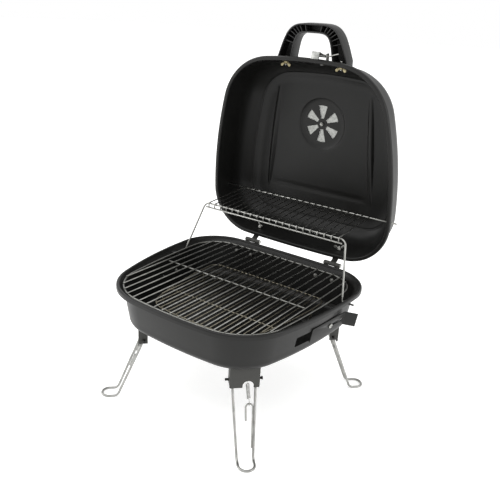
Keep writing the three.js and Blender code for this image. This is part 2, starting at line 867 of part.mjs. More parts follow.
function bowlBracketSolid(s) {
  const x = s * hingeSpacing / 2;
  const top = [bowlStrapY(bowlStrapTop), -bowlStrapTop];
  const bottomDrop = bowlStrapTop + bowlStrapHeight;
  const strap = bentStrip([[bowlStrapY(bottomDrop), -bottomDrop], top], strapThickness, bowlStrapWidth, x);
  const elbow = [hingeY - bowlElbowReach, -hingeDrop - bowlElbowDrop];
  const end = [hingeY - knuckleGrip, -hingeDrop - knuckleGrip];
  const arms = [-1, 1].flatMap((k) => {
    const armX = x + k * hingeArmOffset;
    const arm = bentStrip([[top[0], top[1] - weld], elbow, end], strapThickness, hingeArmWidth, armX);
    return [arm, onHinge(armX, hingeArmWidth, knuckleRadius)];
  });
  const holes = [-1, 1].map((k) => through(bowlBoltSeat(x + k * bowlBoltSpacing / 2), bowlRearNormal));
  return cut(join(strap, arms), hingeBore(x), holes);
}

function lidBracketSolid(s) {
  const x = s * hingeSpacing / 2;
  const foot = [lidStrapY(lidStrapBottom), lidStrapBottom];
  const topRise = lidStrapBottom + lidStrapHeight;
  const strap = bentStrip([[lidStrapY(topRise), topRise], foot], strapThickness, lidStrapWidth, x);
  const elbow = [hingeY - lidElbowReach, -hingeDrop + lidElbowRise];
  const end = [hingeY - knuckleGrip / 2, -hingeDrop + knuckleGrip];
  const tongue = bentStrip([[foot[0], foot[1] + weld], elbow, end], strapThickness, hingeTongueWidth, x);
  const barrel = onHinge(x, hingeTongueWidth, knuckleRadius);
  return cut(join(strap, tongue, barrel), hingeBore(x), through(lidBoltSeat(x), lidRearNormal));
}

function hingePinSolid(s) {
  const x = s * hingeSpacing / 2;
  const half = hingeArmOffset + hingeArmWidth / 2 + gap;
  const head = hingePinHeadThickness;
  const heads = [-1, 1].map((k) => onHinge(x + k * (half + head / 2), head, hingePinHeadRadius));
  return join(onHinge(x, 2 * half + head, hingePinRadius), heads);
}

function addHinges() {
  const nutDepth = strapThickness + strapLift + sheet + seatGap;
  sides.forEach(([side, s]) => {
    addPiece(`bowl_hinge_bracket_${side}`, bowlBracketSolid(s), 'blackSteel');
    addPiece(`hinge_pin_${side}`, hingePinSolid(s), 'zinc');
    addPiece(`lid_hinge_bracket_${side}`, lidBracketSolid(s), 'blackSteel', lid);
    const seat = lidBoltSeat(s * hingeSpacing / 2);
    const screw = bolt(seat, lidRearNormal, nutDepth + wingHub + boltTail);
    const inward = lidRearNormal.map((value) => -value);
    const nut = placed(wingNut(), along(seat, inward, nutDepth), inward);
    addPiece(`lid_hinge_bolt_${side}`, screw, 'zinc', lid);
    addPiece(`lid_hinge_wing_nut_${side}`, nut, 'zinc', lid);
  });
  bowlBoltPlaces.forEach(([side, k, x]) => {
    const seat = bowlBoltSeat(x);
    const screw = bolt(seat, bowlRearNormal, nutDepth + nutThickness + boltTail);
    const place = k * (side === 'left' ? -1 : 1) < 0 ? 'inner' : 'outer';
    addPiece(`bowl_hinge_bolt_${side}_${place}`, join(screw, nutOn(seat, bowlRearNormal, nutDepth)), 'zinc');
  });
}

// Side vent sliders, built flat against the right wall and mirrored for the left

function onRightWall(solid) {
  const [cx, cy] = arcCentre(2);
  const turn = arcTurns[2] + sideTurn * (outlineSteps[2] - 1) / outlineSteps[2];
  const radius = sideRadius - bowlWallInset(ventSlotDrop);
  const onward = new THREE.Vector3(Math.cos(sliderHeading), Math.sin(sliderHeading), 0);
  const out = new THREE.Vector3(Math.sin(sliderHeading), -Math.cos(sliderHeading), 0);
  const normal = out.multiplyScalar(Math.cos(bowlWallTilt)).setZ(-Math.sin(bowlWallTilt));
  const across = onward.clone().cross(normal);
  const basis = new THREE.Matrix4().makeBasis(across, onward, normal);
  basis.setPosition(cx + radius * Math.sin(turn), cy - radius * Math.cos(turn), -ventSlotDrop);
  return solid.transform(matrixOf(basis));
}

function sliderSolid(shift) {
  const height = gap + sliderThickness / 2;
  const start = sliderStart + shift;
  const end = start + sliderLength;
  const tabRun = sliderTabReach * Math.cos(sliderTabTurn);
  const tabRise = sliderTabReach * Math.sin(sliderTabTurn);
  const profile = [[start, height], [end, height], [end + tabRun, height + tabRise]];
  const strip = bentStrip(profile, sliderThickness, sliderHeight, 0);
  const radius = boltRadius + holeClearance;
  const slotEnds = [sliderScrewPlace + shift, sliderScrewPlace + shift + sliderTravel];
  const ends = slotEnds.map((y) => through([0, y, 0], [0, 0, 1], radius));
  const middle = (slotEnds[0] + slotEnds[1]) / 2;
  const slot = join(ends, box(2 * radius, sliderTravel, 2 * overrun, 0, middle, 0));
  return onRightWall(cut(strip, slot));
}

function sliderScrewSolid() {
  const seat = [0, sliderScrewPlace, gap + sliderThickness];
  const normal = [0, 0, 1];
  const nutDepth = sliderThickness + gap + sheet + sliderNutDrop;
  const screw = bolt(seat, normal, nutDepth + nutThickness + boltTail / 2, screwHeadRadius);
  return onRightWall(join(screw, nutOn(seat, normal, nutDepth)));
}

function addSliders() {
  addPiece('vent_slider_right', sliderSolid(0), 'enamel');
  addPiece('vent_slider_left', mirrored(sliderSolid(leftSliderShift)), 'enamel');
  addPiece('slider_screw_right', sliderScrewSolid(), 'zinc');
  addPiece('slider_screw_left', mirrored(sliderScrewSolid()), 'zinc');
}

// Grates: a frame wire, wires from front to back welded on it, and a bar under them

// Where wires a pitch apart stand, one of them in the middle, as many as a half width holds
function wirePlaces(halfWidth, pitch) {
  const beside = Math.floor(halfWidth / pitch);
  return Array.from({ length: 2 * beside + 1 }, (_, i) => (i - beside) * pitch);
}

function grateSolid({ inset, frontInset, z, pitch, wireRadius, barY, barEndInset }) {
  const route = outline(inset, frontInset).map(([x, y]) => [x, y, z]);
  const frame = wire(route, frameWireRadius, { ring: true, sides: grateWireSides });
  const top = z + (frameWireRadius + wireRadius) * weldShare;
  const places = wirePlaces(rimWidth / 2 - inset - grateEdgeRoom, pitch);
  const wires = places.map((x) => {
    const weld = frameWireRadius / 2;
    const [front, rear] = outlineSpan(inset - weld, x, frontInset - weld);
    return wire([[x, front, top], [x, rear, top]], wireRadius, { sides: grateWireSides });
  });
  const barHalf = places[places.length - 1] - barEndInset;
  const bar = wire([[-barHalf, barY, z], [barHalf, barY, z]], frameWireRadius, { sides: grateWireSides });
  return join(frame, wires, bar);
}

function addGrates() {
  const cooking = grateSolid({
    inset: grateInset,
    frontInset: grateFrontInset,
    z: -grateDrop,
    pitch: grateWirePitch,
    wireRadius: grateWireRadius,
    barY: grateBarY,
    barEndInset: grateBarEndInset,
  });
  addPiece('cooking_grate', cooking, 'chrome');
  const coal = grateSolid({
    inset: coalInset,
    frontInset: coalInset,
    z: -coalDrop,
    pitch: coalWirePitch,
    wireRadius: coalWireRadius,
    barY: coalBarY,
    barEndInset: coalBarEndInset,
  });
  const floor = -bowlDepth + sheet + gap;
  const feet = [-1, 1].flatMap((s) => [-1, 1].map((k) => {
    const x = s * outlineHalfWidth(coalInset, k * coalFootY);
    const y = k * coalFootY;
    return wire([[x, y, -coalDrop], [x * coalFootShare, y * coalFootShare, floor]], frameWireRadius);
  }));
  addPiece('charcoal_grate', join(coal, feet), 'chrome');
}

// Brace: one bent wire, its ends turned out through the bowl's side walls

function braceSolid() {
  const z = -braceFootDrop;
  const wallX = outlineHalfWidth(bowlWallInset(braceFootDrop), braceFootY);
  const footX = wallX - sheet - braceWireRadius / 2 - braceFootInset;
  const half = [
    [wallX + bracePivotReach, braceFootY, z],
    [footX, braceFootY, z],
    [braceTopHalfWidth, braceFootY + braceLean, z + braceHeight],
  ];
  const other = half.map(([x, y, height]) => [-x, y, height]).reverse();
  const bend = [braceFootBend, braceBend, braceBend, braceFootBend];
  return wire([...half, ...other], braceWireRadius, { bend });
}

// Warming rack: its rear rod turns in the lid's walls, its front lip rests over the brace

function rackPoint(x, run, rise) {
  const rearY = hingeY + braceLean;
  const rearZ = -hingeDrop + braceHeight;
  const [dy, dz] = unit([braceFootY - hingeY, hingeDrop - braceFootDrop]);
  return [x, rearY + dy * run - dz * rise * Math.sign(dy), rearZ + dz * run + dy * rise * Math.sign(dy)];
}

function rackSolid() {
  const length = Math.hypot(braceFootY - hingeY, hingeDrop - braceFootDrop);
  const [rodY, rodZ] = rackRodOnLid();
  const reach = outlineHalfWidth(lidFaceInset(rodZ), rodY) + rackRodReach;
  const rodWire = wire([rackPoint(-reach, 0, 0), rackPoint(reach, 0, 0)], rackBarRadius, { sides: rodSides });
  const onRod = (rackBarRadius + rackWireRadius) * weldShare;
  const overBrace = braceWireRadius + gap + rackWireRadius;
  const places = wirePlaces(braceTopHalfWidth - rackEdgeRoom, rackWirePitch);
  const half = places[places.length - 1];
  const lipRun = length + rackLipReach;
  const wires = places.map((x) => {
    const lipTop = rackPoint(x, lipRun, overBrace);
    const route = [rackPoint(x, -rackOverhang, onRod), lipTop, rackPoint(x, lipRun, -rackLipDrop)];
    return wire(route, rackWireRadius, { bend: rackLipBend, bendSteps: 1, sides: grateWireSides });
  });
  const barEnds = [-1, 1].map((s) => rackPoint(s * (half + rackBarOverhang), lipRun, -rackLipDrop));
  return join(rodWire, wires, wire(barEnds, rackBarRadius));
}

// Vent damper and its screw

function damperSolid() {
  const z = lidHeight + ventFieldRise + gap;
  const disc = rod([0, ventCentreY, z], [0, ventCentreY, z + damperThickness], damperRadius, discSides);
  const holes = ventWedges(Math.PI / 2 + wedgeAngle, z - overrun);
  const middle = z + damperThickness / 2;
  const edge = ventCentreY - damperRadius;
  const inner = [edge + damperTabReach, middle];
  const outer = [edge - damperTabReach, middle];
  const tip = [edge - damperTabReach, middle + damperTabHeight];
  const tab = bentStrip([inner, outer, tip], damperThickness, damperTabWidth, 0);
  return cut(join(disc, tab), holes, through([0, ventCentreY, z], [0, 0, 1]));
}

function addDamper() {
  addPiece('vent_damper', damperSolid(), 'zinc', lid);
  const seat = [0, ventCentreY, lidHeight + ventFieldRise + gap + damperThickness];
  const nutDepth = damperThickness + gap + sheet + seatGap;
  const depth = nutDepth + nutThickness + boltTail;
  addPiece('damper_screw', bolt(seat, [0, 0, 1], depth, screwHeadRadius), 'zinc', lid);
  const nut = cut(nutOn(seat, [0, 0, 1], nutDepth), through(seat, [0, 0, 1], boltRadius + gap));
  addPiece('damper_nut', nut, 'zinc', lid);
}

// Carry handle

function bow(halfWidth, height, { power, taper }) {
  return Array.from({ length: handleBowSteps + 1 }, (_, i) => {
    const angle = Math.PI * i / handleBowSteps;
    const across = Math.cos(angle);
    const rise = Math.abs(Math.sin(angle)) ** (2 / power);
    const x = halfWidth * (1 - taper * rise) * Math.sign(across) * Math.abs(across) ** (2 / power);
    return [x, height * rise];
  });
}

// The band between two bows, running back past the base, as a plate of some depth
function bowBand(shrink, from, to) {
  const outer = bow(handleHalfWidth - shrink, handleHeight - shrink, handleBow);
  const inner = bow(gripHalfWidth + shrink, gripHeight + shrink, gripBow);
  const root = -handleRootDepth;
  const shape = polygon([
    [handleHalfWidth - shrink, root], ...outer, [shrink - handleHalfWidth, root],
    [-gripHalfWidth - shrink, root], ...inner.reverse(), [gripHalfWidth + shrink, root],
  ]);
  return moved(plate(shape, to - from), 0, 0, from);
}

function handleBoltSeat(x) {
  return [x, outlineSpan(lidFaceInset(handleBoltRise), Math.abs(x))[0], handleBoltRise];
}

// The lid's outer faces as a full block, grown by a clearance
function lidBlock(clearance) {
  const reach = sheet / 2 + clearance;
  return loft([...lidFillet(reach), [lidWallFootInset - reach, lidWallFootRise]]);
}

function handleSolid() {
  const band = bowBand(0, 0, handleDepth);
  const foot = handleBaseY - handleBoltSeat(handleBoltOffset)[1] + handleFootThickness;
  const width = 2 * handleHalfWidth;
  const free = box(width, width, 2 * handleDepth, 0, width / 2 + foot, handleDepth);
  const channel = bowBand(handleWall, handleWall, handleDepth + overrun).intersect(free);
  const middle = bow((handleHalfWidth + gripHalfWidth) / 2, (handleHeight + gripHeight) / 2, gripBow);
  const ribs = Array.from({ length: handleRibCount }, (_, i) => {
    const place = (i + 1) / (handleRibCount + 1) * handleBowSteps;
    const k = Math.floor(place);
    const share = place - k;
    const [x1, y1] = middle[k];
    const [x2, y2] = middle[k + 1];
    const turn = Math.atan2(y2 - y1, x2 - x1);
    const height = handleDepth - handleRibDrop;
    const slab = new THREE.BoxGeometry(handleRibThickness, 2 * handleDepth, height).rotateZ(turn);
    slab.translate(x1 + (x2 - x1) * share, y1 + (y2 - y1) * share, height / 2);
    return toSolid(slab).intersect(band);
  });
  const arch = join(cut(band, channel), ribs);
  const flip = new THREE.Matrix4().makeRotationX(Math.PI);
  flip.setPosition(0, handleBaseY, handleRise + handleDepth);
  const bolts = [-1, 1].map((s) => through(handleBoltSeat(s * handleBoltOffset), lidFrontNormal));
  return cut(arch.transform(matrixOf(flip)), lidBlock(gap), bolts);
}

function addHandle() {
  addPiece('carry_handle', handleSolid(), 'plastic', lid);
  sides.forEach(([side, s]) => {
    const wall = handleBoltSeat(s * handleBoltOffset);
    const seat = along(wall, lidFrontNormal, handleFootThickness + seatGap);
    const nutDepth = handleFootThickness + seatGap + sheet + seatGap;
    const screw = bolt(seat, lidFrontNormal, nutDepth + wingHub + boltTail);
    const inward = lidFrontNormal.map((value) => -value);
    const nut = placed(wingNut(), along(wall, inward, sheet + seatGap), inward);
    addPiece(`handle_bolt_${side}`, screw, 'zinc', lid);
    addPiece(`handle_wing_nut_${side}`, nut, 'brass', lid);
  });
}

// Latch: a bracket on the lid, a pin wire with a bent lever, and a hook plate that hangs on it

const latchPivot = new THREE.Group();
latchPivot.position.set(latchX, latchPinY, latchPinRise);
latchPivot.rotation.x = -latchSwing;
lid.add(latchPivot);

function latchWallPoint() {
  const wallY = outlineSpan(lidFaceInset(latchPinRise), latchX - latchEarSpacing / 2)[0];
  return [latchX, wallY, latchPinRise];
}

function latchBracketSolid() {
  const wall = latchWallPoint();
  const backY = wall[1] - gap - latchThickness / 2 - latchBackLift;
  const earY = latchPinY - latchEarHeight / 2;
  const backWidth = latchEarSpacing + latchThickness;
  const back = box(backWidth, latchThickness, latchEarHeight, latchX, backY, latchPinRise);
  const ears = [-1, 1].map((k) => {
    const x = latchX + k * latchEarSpacing / 2;
    return box(latchThickness, backY - earY, latchEarHeight, x, (backY + earY) / 2, latchPinRise);
  });
  const half = latchEarSpacing;
  const pinLine = [-half, half].map((x) => [latchX + x, latchPinY, latchPinRise]);
  const bore = rod(...pinLine, latchPinRadius + gap);
  const start = along(wall, lidFrontNormal, -latchRivetDepth);
  const rivet = rod([latchX, backY, latchPinRise], start, latchRivetRadius);
  const head = rod(start, along(start, lidFrontNormal, -latchThickness), 2 * latchRivetRadius);
  return join(cut(join(back, ears), bore), rivet, head);
}

// Drawn about the pin, the plate hanging down and its tip turned in under the bowl's lip
function latchHookSolid() {
  const profile = [[0, 0], [0, -latchDrop], [latchHookReach, -latchDrop]];
  const tip = bentStrip(profile, latchThickness, latchPlateWidth, 0);
  const half = latchPlateWidth / 2;
  const bore = latchPinRadius + gap;
  const curl = rod([-half, 0, 0], [half, 0, 0], bore + latchThickness);
  return cut(join(tip, curl), through([0, 0, 0], [1, 0, 0], bore));
}

function latchWireSolid() {
  const left = -latchEarSpacing / 2 - latchPinOverhang;
  const right = latchEarSpacing / 2 + latchPinOverhang;
  const route = [[left, 0, 0], [right, 0, 0], [right + latchLeverReach, -latchLeverDrop, 0]];
  return wire(route, latchPinRadius, { bend: latchPinOverhang / 2, sides: rodSides });
}

function addLatch() {
  addPiece('latch_bracket', latchBracketSolid(), 'zinc', lid);
  addPiece('latch_hook', latchHookSolid(), 'zinc', latchPivot);
  addPiece('latch_wire', latchWireSolid(), 'zinc', latchPivot);
}

// Legs: drawn about the pivot pin, -Y out from the bowl, and turned to each corner

function legPoint(x, run, lift = 0) {
  const s = Math.sin(legSplay);
  const c = Math.cos(legSplay);
  return [x, -run * s - lift * c, -run * c + lift * s];
}

function legHalfWidth(run) {
  return legTopHalfWidth + (legBottomHalfWidth - legTopHalfWidth) * run / legLength;
}

function legSolid() {
  const start = legPinRadius + gap + legEyeWall;
  const ankle = legPoint(legBottomHalfWidth, legLength);
  const half = [
    legPoint(legHalfWidth(start), start),
    ankle,
    [legBottomHalfWidth, ankle[1] - footLength, ankle[2]],
  ];
  const other = half.map(([x, y, z]) => [-x, y, z]).reverse();
  const bend = [ankleBend, footBend, footBend, ankleBend];
  const loop = wire([...half, ...other], legWireRadius, { bend, steady: true });
  const eyes = [-1, 1].map((s) => onPin(s * legTopHalfWidth, legEyeWidth, legEyeRadius));
  return join(cut(join(loop, eyes), onPin(0, 2 * legPinLength, legPinRadius + gap)), hookWire());
}

// A round piece on the pivot line, centred on x
function onPin(x, width, radius) {
  return rod([x - width / 2, 0, 0], [x + width / 2, 0, 0], radius, boreSides);
}

function hookArmX(run) {
  return legHalfWidth(run) - legWireRadius - hookWireRadius + weld;
}

function hookCrownX() {
  return hookArmX(hookCrownDrop + hookBend) - hookBend;
}

// An upside-down J: its long arm lies along the leg wire, its crown holds the spring
function hookWire() {
  const bendRun = hookCrownDrop + hookBend;
  const x = hookCrownX();
  const crown = Array.from({ length: hookCrownSteps + 1 }, (_, i) => {
    const angle = Math.PI * (1 - i / hookCrownSteps);
    return legPoint(x + hookBend * Math.cos(angle), bendRun - hookBend * Math.sin(angle));
  });
  const shortEnd = legPoint(x - hookBend, bendRun + hookShortArm);
  const longRun = bendRun + hookLongArm;
  const longEnd = legPoint(hookArmX(longRun), longRun);
  return wire([shortEnd, ...crown, longEnd], hookWireRadius, { flatTo: [1, 0, 0] });
}

// Spring: a hook round the pin, curls, and a hook round the crown, in one unbroken tube
function springPath() {
  const pinHook = legPinRadius + springWireRadius + springClearance;
  const crownHook = hookWireRadius + springWireRadius + springClearance;
  const length = springCurls * springPitch;
  const start = (hookCrownDrop - length) / 2;
  const x = (run) => springTopX + (hookCrownX() - springTopX) * run / hookCrownDrop;
  const hook = (at, run, radius, way) => [-2, -1, 0, 1, 2].map((i) => {
    const a = way * i * Math.PI / 4;
    return [at, run - way * radius * Math.cos(a), radius * Math.sin(a)];
  });
  const curls = Array.from({ length: springCurls * springSteps + 1 }, (_, i) => {
    const angle = 2 * Math.PI * i / springSteps;
    const run = start + springPitch * i / springSteps;
    return [x(run) + springRadius * Math.sin(angle), run, springRadius * Math.cos(angle)];
  });
  const end = hookCrownX();
  return [
    [springTopX, springTail, -pinHook],
    ...hook(springTopX, 0, pinHook, 1),
    ...curls,
    ...hook(end, hookCrownDrop, crownHook, -1),
    [end, hookCrownDrop - springTail, -crownHook],
  ];
}

function springSelfGap(points) {
  const path = points.map((p) => new THREE.Vector3(...p));
  const closest = new THREE.Vector3();
  let least = Infinity;
  path.forEach((p, i) => {
    for (let j = i + springSteps / 2; j < path.length - 1; j += 1) {
      new THREE.Line3(path[j], path[j + 1]).closestPointToPoint(p, true, closest);
      if (j - i >= springSteps / 2) least = Math.min(least, p.distanceTo(closest));
    }
  });
  return least - 2 * springWireRadius;
}

function springSolid() {
  const route = springPath().map(([x, run, lift]) => legPoint(x, run, lift));
  return wire(route, springWireRadius, { sides: springSides, flatTo: [1, 0, 0] });
}

function legBracketSolid() {
  const top = legPivotDrop - gap;
  const bottom = top - bracketHeight;
  const half = bracketWidth / 2;
  const face = new THREE.Shape();
  face.moveTo(-half, bottom);
  face.lineTo(bracketNotchX - bracketNotchRadius, bottom);
  face.absarc(bracketNotchX, bottom, bracketNotchRadius, Math.PI, 0, true);
  face.lineTo(half, bottom);
  face.lineTo(half, top);
  face.lineTo(-half, top);
  const outerY = -bracketDepth - bracketSheet / 2;
  const upright = new THREE.Matrix4().makeRotationX(Math.PI / 2).setPosition(0, outerY + bracketSheet, 0);
  const front = plate(face, bracketSheet).transform(matrixOf(upright));
  const earHeight = top + bracketEarReach;
  const earDepth = bracketEarReach - outerY;
  const earX = half - bracketSheet / 2;
  const earY = outerY + earDepth / 2;
  const earZ = top - earHeight / 2;
  const ears = [-1, 1].map((s) => box(bracketSheet, earDepth, earHeight, s * earX, earY, earZ));
  const webDepth = bracketWebReach - outerY;
  const web = box(bracketWidth, webDepth, bracketSheet, 0, outerY + webDepth / 2, top - bracketSheet / 2);
  const bore = onPin(0, 2 * bracketWidth, legPinRadius + gap);
  const rivetHole = through([0, bracketRivetInset, top], [0, 0, 1], bracketRivetRadius + holeClearance);
  return cut(join(front, ears, web), bore, rivetHole);
}

function bracketRivetSolid() {
  const at = (z) => [0, bracketRivetInset, z];
  const under = legPivotDrop - 2 * gap - bracketSheet;
  const over = legPivotDrop + sheet + gap;
  const head = bracketRivetRadius * 2;
  const shank = rod(at(under), at(over), bracketRivetRadius);
  const lower = rod(at(under - rivetHeadThickness), at(under), head);
  const upper = rod(at(over), at(over + rivetHeadThickness), head);
  return join(shank, lower, upper);
}

function addLegs() {
  legPlaces().forEach(([corner, x, y, sx, sy]) => {
    const place = new THREE.Group();
    place.position.set(x, y, -bowlDepth - legPivotDrop);
    place.rotation.z = Math.atan2(sx, -sy);
    grill.add(place);
    addPiece(`leg_bracket_${corner}`, legBracketSolid(), 'blackSteel', place);
    addPiece(`bracket_rivet_${corner}`, bracketRivetSolid(), 'zinc', place);
    addPiece(`leg_pin_${corner}`, onPin(0, legPinLength, legPinRadius), 'blackSteel', place);
    addPiece(`leg_${corner}`, legSolid(), 'chrome', place);
    addPiece(`leg_spring_${corner}`, springSolid(), 'zinc', place);
  });
}

addPiece('bowl', bowlSolid(), 'enamel');
addGrates();
addSliders();
addLegs();
addPiece('brace', braceSolid(), 'chrome');
addPiece('lid_shell', lidSolid(), 'enamel', lid);
addHinges();
addDamper();
addHandle();
addLatch();
addPiece('warming_rack', rackSolid(), 'chrome');
console.log('least gap of a spring to itself, mm:', springSelfGap(springPath()).toFixed(2));

// The origin is under the middle of the whole object, on the ground
const extent = new THREE.Box3().setFromObject(grill, true);
const middle = extent.getCenter(new THREE.Vector3());
grill.position.set(-middle.x, -middle.y, -extent.min.z);

export default grill;
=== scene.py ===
"""Looks of a folding camp grill: pressed bowl and lid, plated wires, coated brackets, a moulded handle.

Pieces are drawn in millimetres about the middle of the bowl's rim, the front towards -Y, the lid closed.
A place matrix then turns them into metres where the frame stands.
"""

import math

import bmesh
import bpy
from mathutils import Matrix, Vector
from mathutils.kdtree import KDTree


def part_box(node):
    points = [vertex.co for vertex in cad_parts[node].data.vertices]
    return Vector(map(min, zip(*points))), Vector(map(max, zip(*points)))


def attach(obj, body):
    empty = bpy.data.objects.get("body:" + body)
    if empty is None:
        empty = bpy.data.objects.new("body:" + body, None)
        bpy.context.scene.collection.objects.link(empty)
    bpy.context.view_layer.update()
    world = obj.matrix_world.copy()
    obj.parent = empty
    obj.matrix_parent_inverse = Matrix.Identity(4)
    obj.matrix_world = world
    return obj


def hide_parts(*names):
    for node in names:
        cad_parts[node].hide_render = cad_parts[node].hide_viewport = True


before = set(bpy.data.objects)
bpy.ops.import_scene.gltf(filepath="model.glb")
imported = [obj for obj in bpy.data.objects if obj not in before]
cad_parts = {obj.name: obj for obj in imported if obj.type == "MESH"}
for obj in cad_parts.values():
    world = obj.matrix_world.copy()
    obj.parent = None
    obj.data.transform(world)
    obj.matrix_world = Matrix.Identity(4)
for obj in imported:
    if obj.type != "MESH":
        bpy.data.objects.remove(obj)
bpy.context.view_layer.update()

mm = 0.001
quarter = math.pi / 2

# Plan outline of the rims: five arcs from the front centre to the rear centre
bowl_low, bowl_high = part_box("bowl")
rim_width = (bowl_high.x - bowl_low.x) / mm
rim_depth = (bowl_high.y - bowl_low.y) / mm
front_corner_radius = 100
rear_corner_radius = 80
side_radius = 700
outline_turns = [math.radians(turn) for turn in (0, 5.3, 75, 90, 178, 180)]
outline_steps = (8, 26, 14, 26, 8)
side_arc = 2

# Bowl: pressed sheet with a rolled rim
sheet = 1
bowl_depth = 72
bowl_fillet = 13
wall_top_inset = 12.4
wall_top_drop = 9.5
wall_bottom_inset = 20.5
bead_radius = 2.5
rim_lip_drop = 7.5
tab_place = 0.11 * rim_depth
tab_root_inset = 10.6
tab_size = (16.5, 8, 1.5)
bead_steps = 14
bowl_fillet_steps = 12
bowl_wall_steps = 6
shoulder_run = 0.2
shoulder_drop = 1.2
wall_turn_run = 1.2
wall_turn_rise = 0.8
bowl_floor_rings = 10
bowl_floor_circle = 12
vent_cut_reach = 24
vent_cut_corner = 2.0

# Lid: pressed sheet with a flange and an upturned lip
lid_height = 86
lid_fillet = 44
frame_line_turn = 116
frame_line_height = 1.1
frame_line_spread = 2.4
frame_line_offsets = (8, 5, 3.5, 2.2, 1, 0, -1, -2.2, -3.5, -5, -8)
fillet_low_turns = range(180, 131, -8)
fillet_high_turns = (102, 96, 90)
lid_wall_inset = 8
lid_foot_inset = 5
lid_foot_rise = 9
lid_foot_radius = 2
flange_rise = 1.1
flange_overhang = 2.5
lid_lip_height = 4.5
lip_bend = ((-0.35, 1.2), (0.2, 0.25), (1.1, 0))
heel_steps = 5
lid_wall_steps = 5
lid_top_rings = 24
lid_open = math.radians(86.5)

# Lid top: two long ribs, a crease near the hinge and a raised round vent field
rib_inset = 82
rib_turn = math.radians(5.5)
rib_length = 215
rib_width = 13
rib_depth = 6
rib_centre_y = -12
rib_roundness = 1.2
rib_margin = (4, 6)
crease_y = 82
crease_half_length = 104
crease_half_width = 9
crease_height = 0.9
crease_fade = 12
crease_margin = (5, 4)
flat_tolerance = 0.1
relief_cuts = 4
vent_y = -47
field_radius = 47
field_rise = 1.5
field_foot = 1.6
field_step = ((0.9, 0.25), (0.2, 0.9), (-0.6, field_rise))
field_circles = (36, 22, 9)
wedge_inner = 10
wedge_outer = 34
wedge_count = 6
wedge_angle = math.radians(30)
wedge_outer_steps = 10
wedge_inner_steps = 4
wedge_cut = (5, 8)
damper_radius = 39
damper_thickness = 1
damper_edge = 0.25
damper_bevel = 0.15
damper_sides = 96
damper_cut = (4, 5)
damper_tab = (12, 9, 4)
damper_tab_bend = ((1, 0), (0.2, 0.4), (0, 1.3))

# Hinges
hinge_y = rim_depth / 2 + 12
hinge_drop = 2.4
hinge_spacing = rim_width - 2 * 96.1
hinge_pin_radius = 2
knuckle_radius = 4
hinge_arm_width = 10
hinge_arm_offset = 11
hinge_elbow = (9.5, 8.1)
hinge_arm_end = (2.4, 2.4)
hinge_tongue_width = 11
tongue_elbow = (6.6, 11)
tongue_end = (1.2, 2.4)
hinge_bore_length = 80
hinge_rivet_head = 1.5
hinge_rivet_profile = ((0, 2.6), (0.4, 3.3), (1.2, 3.5), (hinge_rivet_head, 3.3))
strap_thickness = 1.6
bowl_strap_width = 48
bowl_strap_top = 13
bowl_strap_height = 20
bowl_bolt_spacing = 34
bowl_bolt_drop = 21
lid_strap_width = 33
lid_strap_bottom = 12
lid_strap_height = 20
lid_bolt_rise = 22
gap = 0.3
seat_gap = 0.4
strap_lift = 1.1
strap_overlap = 0.5
strap_edge = 0.3

# Fasteners
bolt_radius = 2
bolt_head_radius = 3.6
bolt_head_height = 2
bolt_head_foot = ((0, 0.15), (0.3, 0))
bolt_head_dome = ((0.7, 0.3), (0.2, 1.1), (0, 2))
bolt_tail = 2
shank_chamfer = 0.5
recess_length = 3.6
recess_width = 0.8
recess_depth = 1.6
hole_room = 0.4
nut_radius = 3.7
nut_height = 3
nut_sides = 6
nut_chamfer = 0.4
wing_hub = 5
wing_hub_profile = ((0, 3.9), (0.5, 4.3), (3.4, 3.5), (4.6, 3.1), (wing_hub, 2.7))
wing_thickness = 1.7
wing_edge = 0.4
wing_before_tip = ((1.6, 0.4), (4.4, 0.6))
wing_tip_place = (7.6, 6.1)
wing_tip_radius = 2.9
wing_tip_turns = (-1.0, 2.3)
wing_tip_steps = 10
wing_after_tip = ((3.0, 4.4), (1.6, 4.4))
wing_nut_turn = math.radians(35)
collar_step = 0.01
screw_head_radius = 4.2

# Cooking grate and charcoal grate
grate_inset = 25
grate_front_inset = 12
grate_drop = 5
grate_edge_room = 6
frame_wire = 1.5
grate_wire = 1.15
grate_pitch = 16
grate_bar_y = -5
grate_bar_end = 2
coal_inset = 64
coal_drop = 38
coal_wire = 1
coal_pitch = 8.6
coal_bar_y = -38
coal_bar_end = 3.3
coal_foot_y = 66
coal_foot_share = 0.94
weld_share = 0.65

# Warming rack and brace
brace_foot_y = 70
brace_foot_drop = 12
brace_lean = 32
brace_height = 92.4
brace_top_half = rim_width / 2 - 38
brace_wire = 1.6
tip_bare = 3
brace_pivot_reach = 16.8
brace_wall_room = 2.2
brace_bends = (2, 9, 9, 2)
rack_edge_room = 8
rack_pitch = 13.6
rack_wire = 1.1
rack_bar = 1.5
rack_lip_drop = 6
rack_lip_reach = 4.5
rack_lip_bend = 2.5
rack_rod_reach = 9
rack_overhang = 2
rack_bar_overhang = 7

# Side vents and sliders
slot_centre_y = -21
slot_length = 52
slot_height = 17
slot_drop = 43
slider_start = -42
slider_length = 90
slider_height = 25
slider_thickness = 1.2
slider_tab_reach = 22
slider_tab_turn = math.radians(52)
slider_bend = ((-1.2, 0), (0.4, 0.5), (1.2, 1.4))
slider_edge = 0.35
slider_cut = 5
slider_slot_steps = 12
slider_nut_room = 0.9
slider_bolt_tail = 1
slider_screw_place = 9
slider_travel = 34
left_slider_shift = -30
slider_turn = math.radians(85)
slider_heading = math.radians(84)

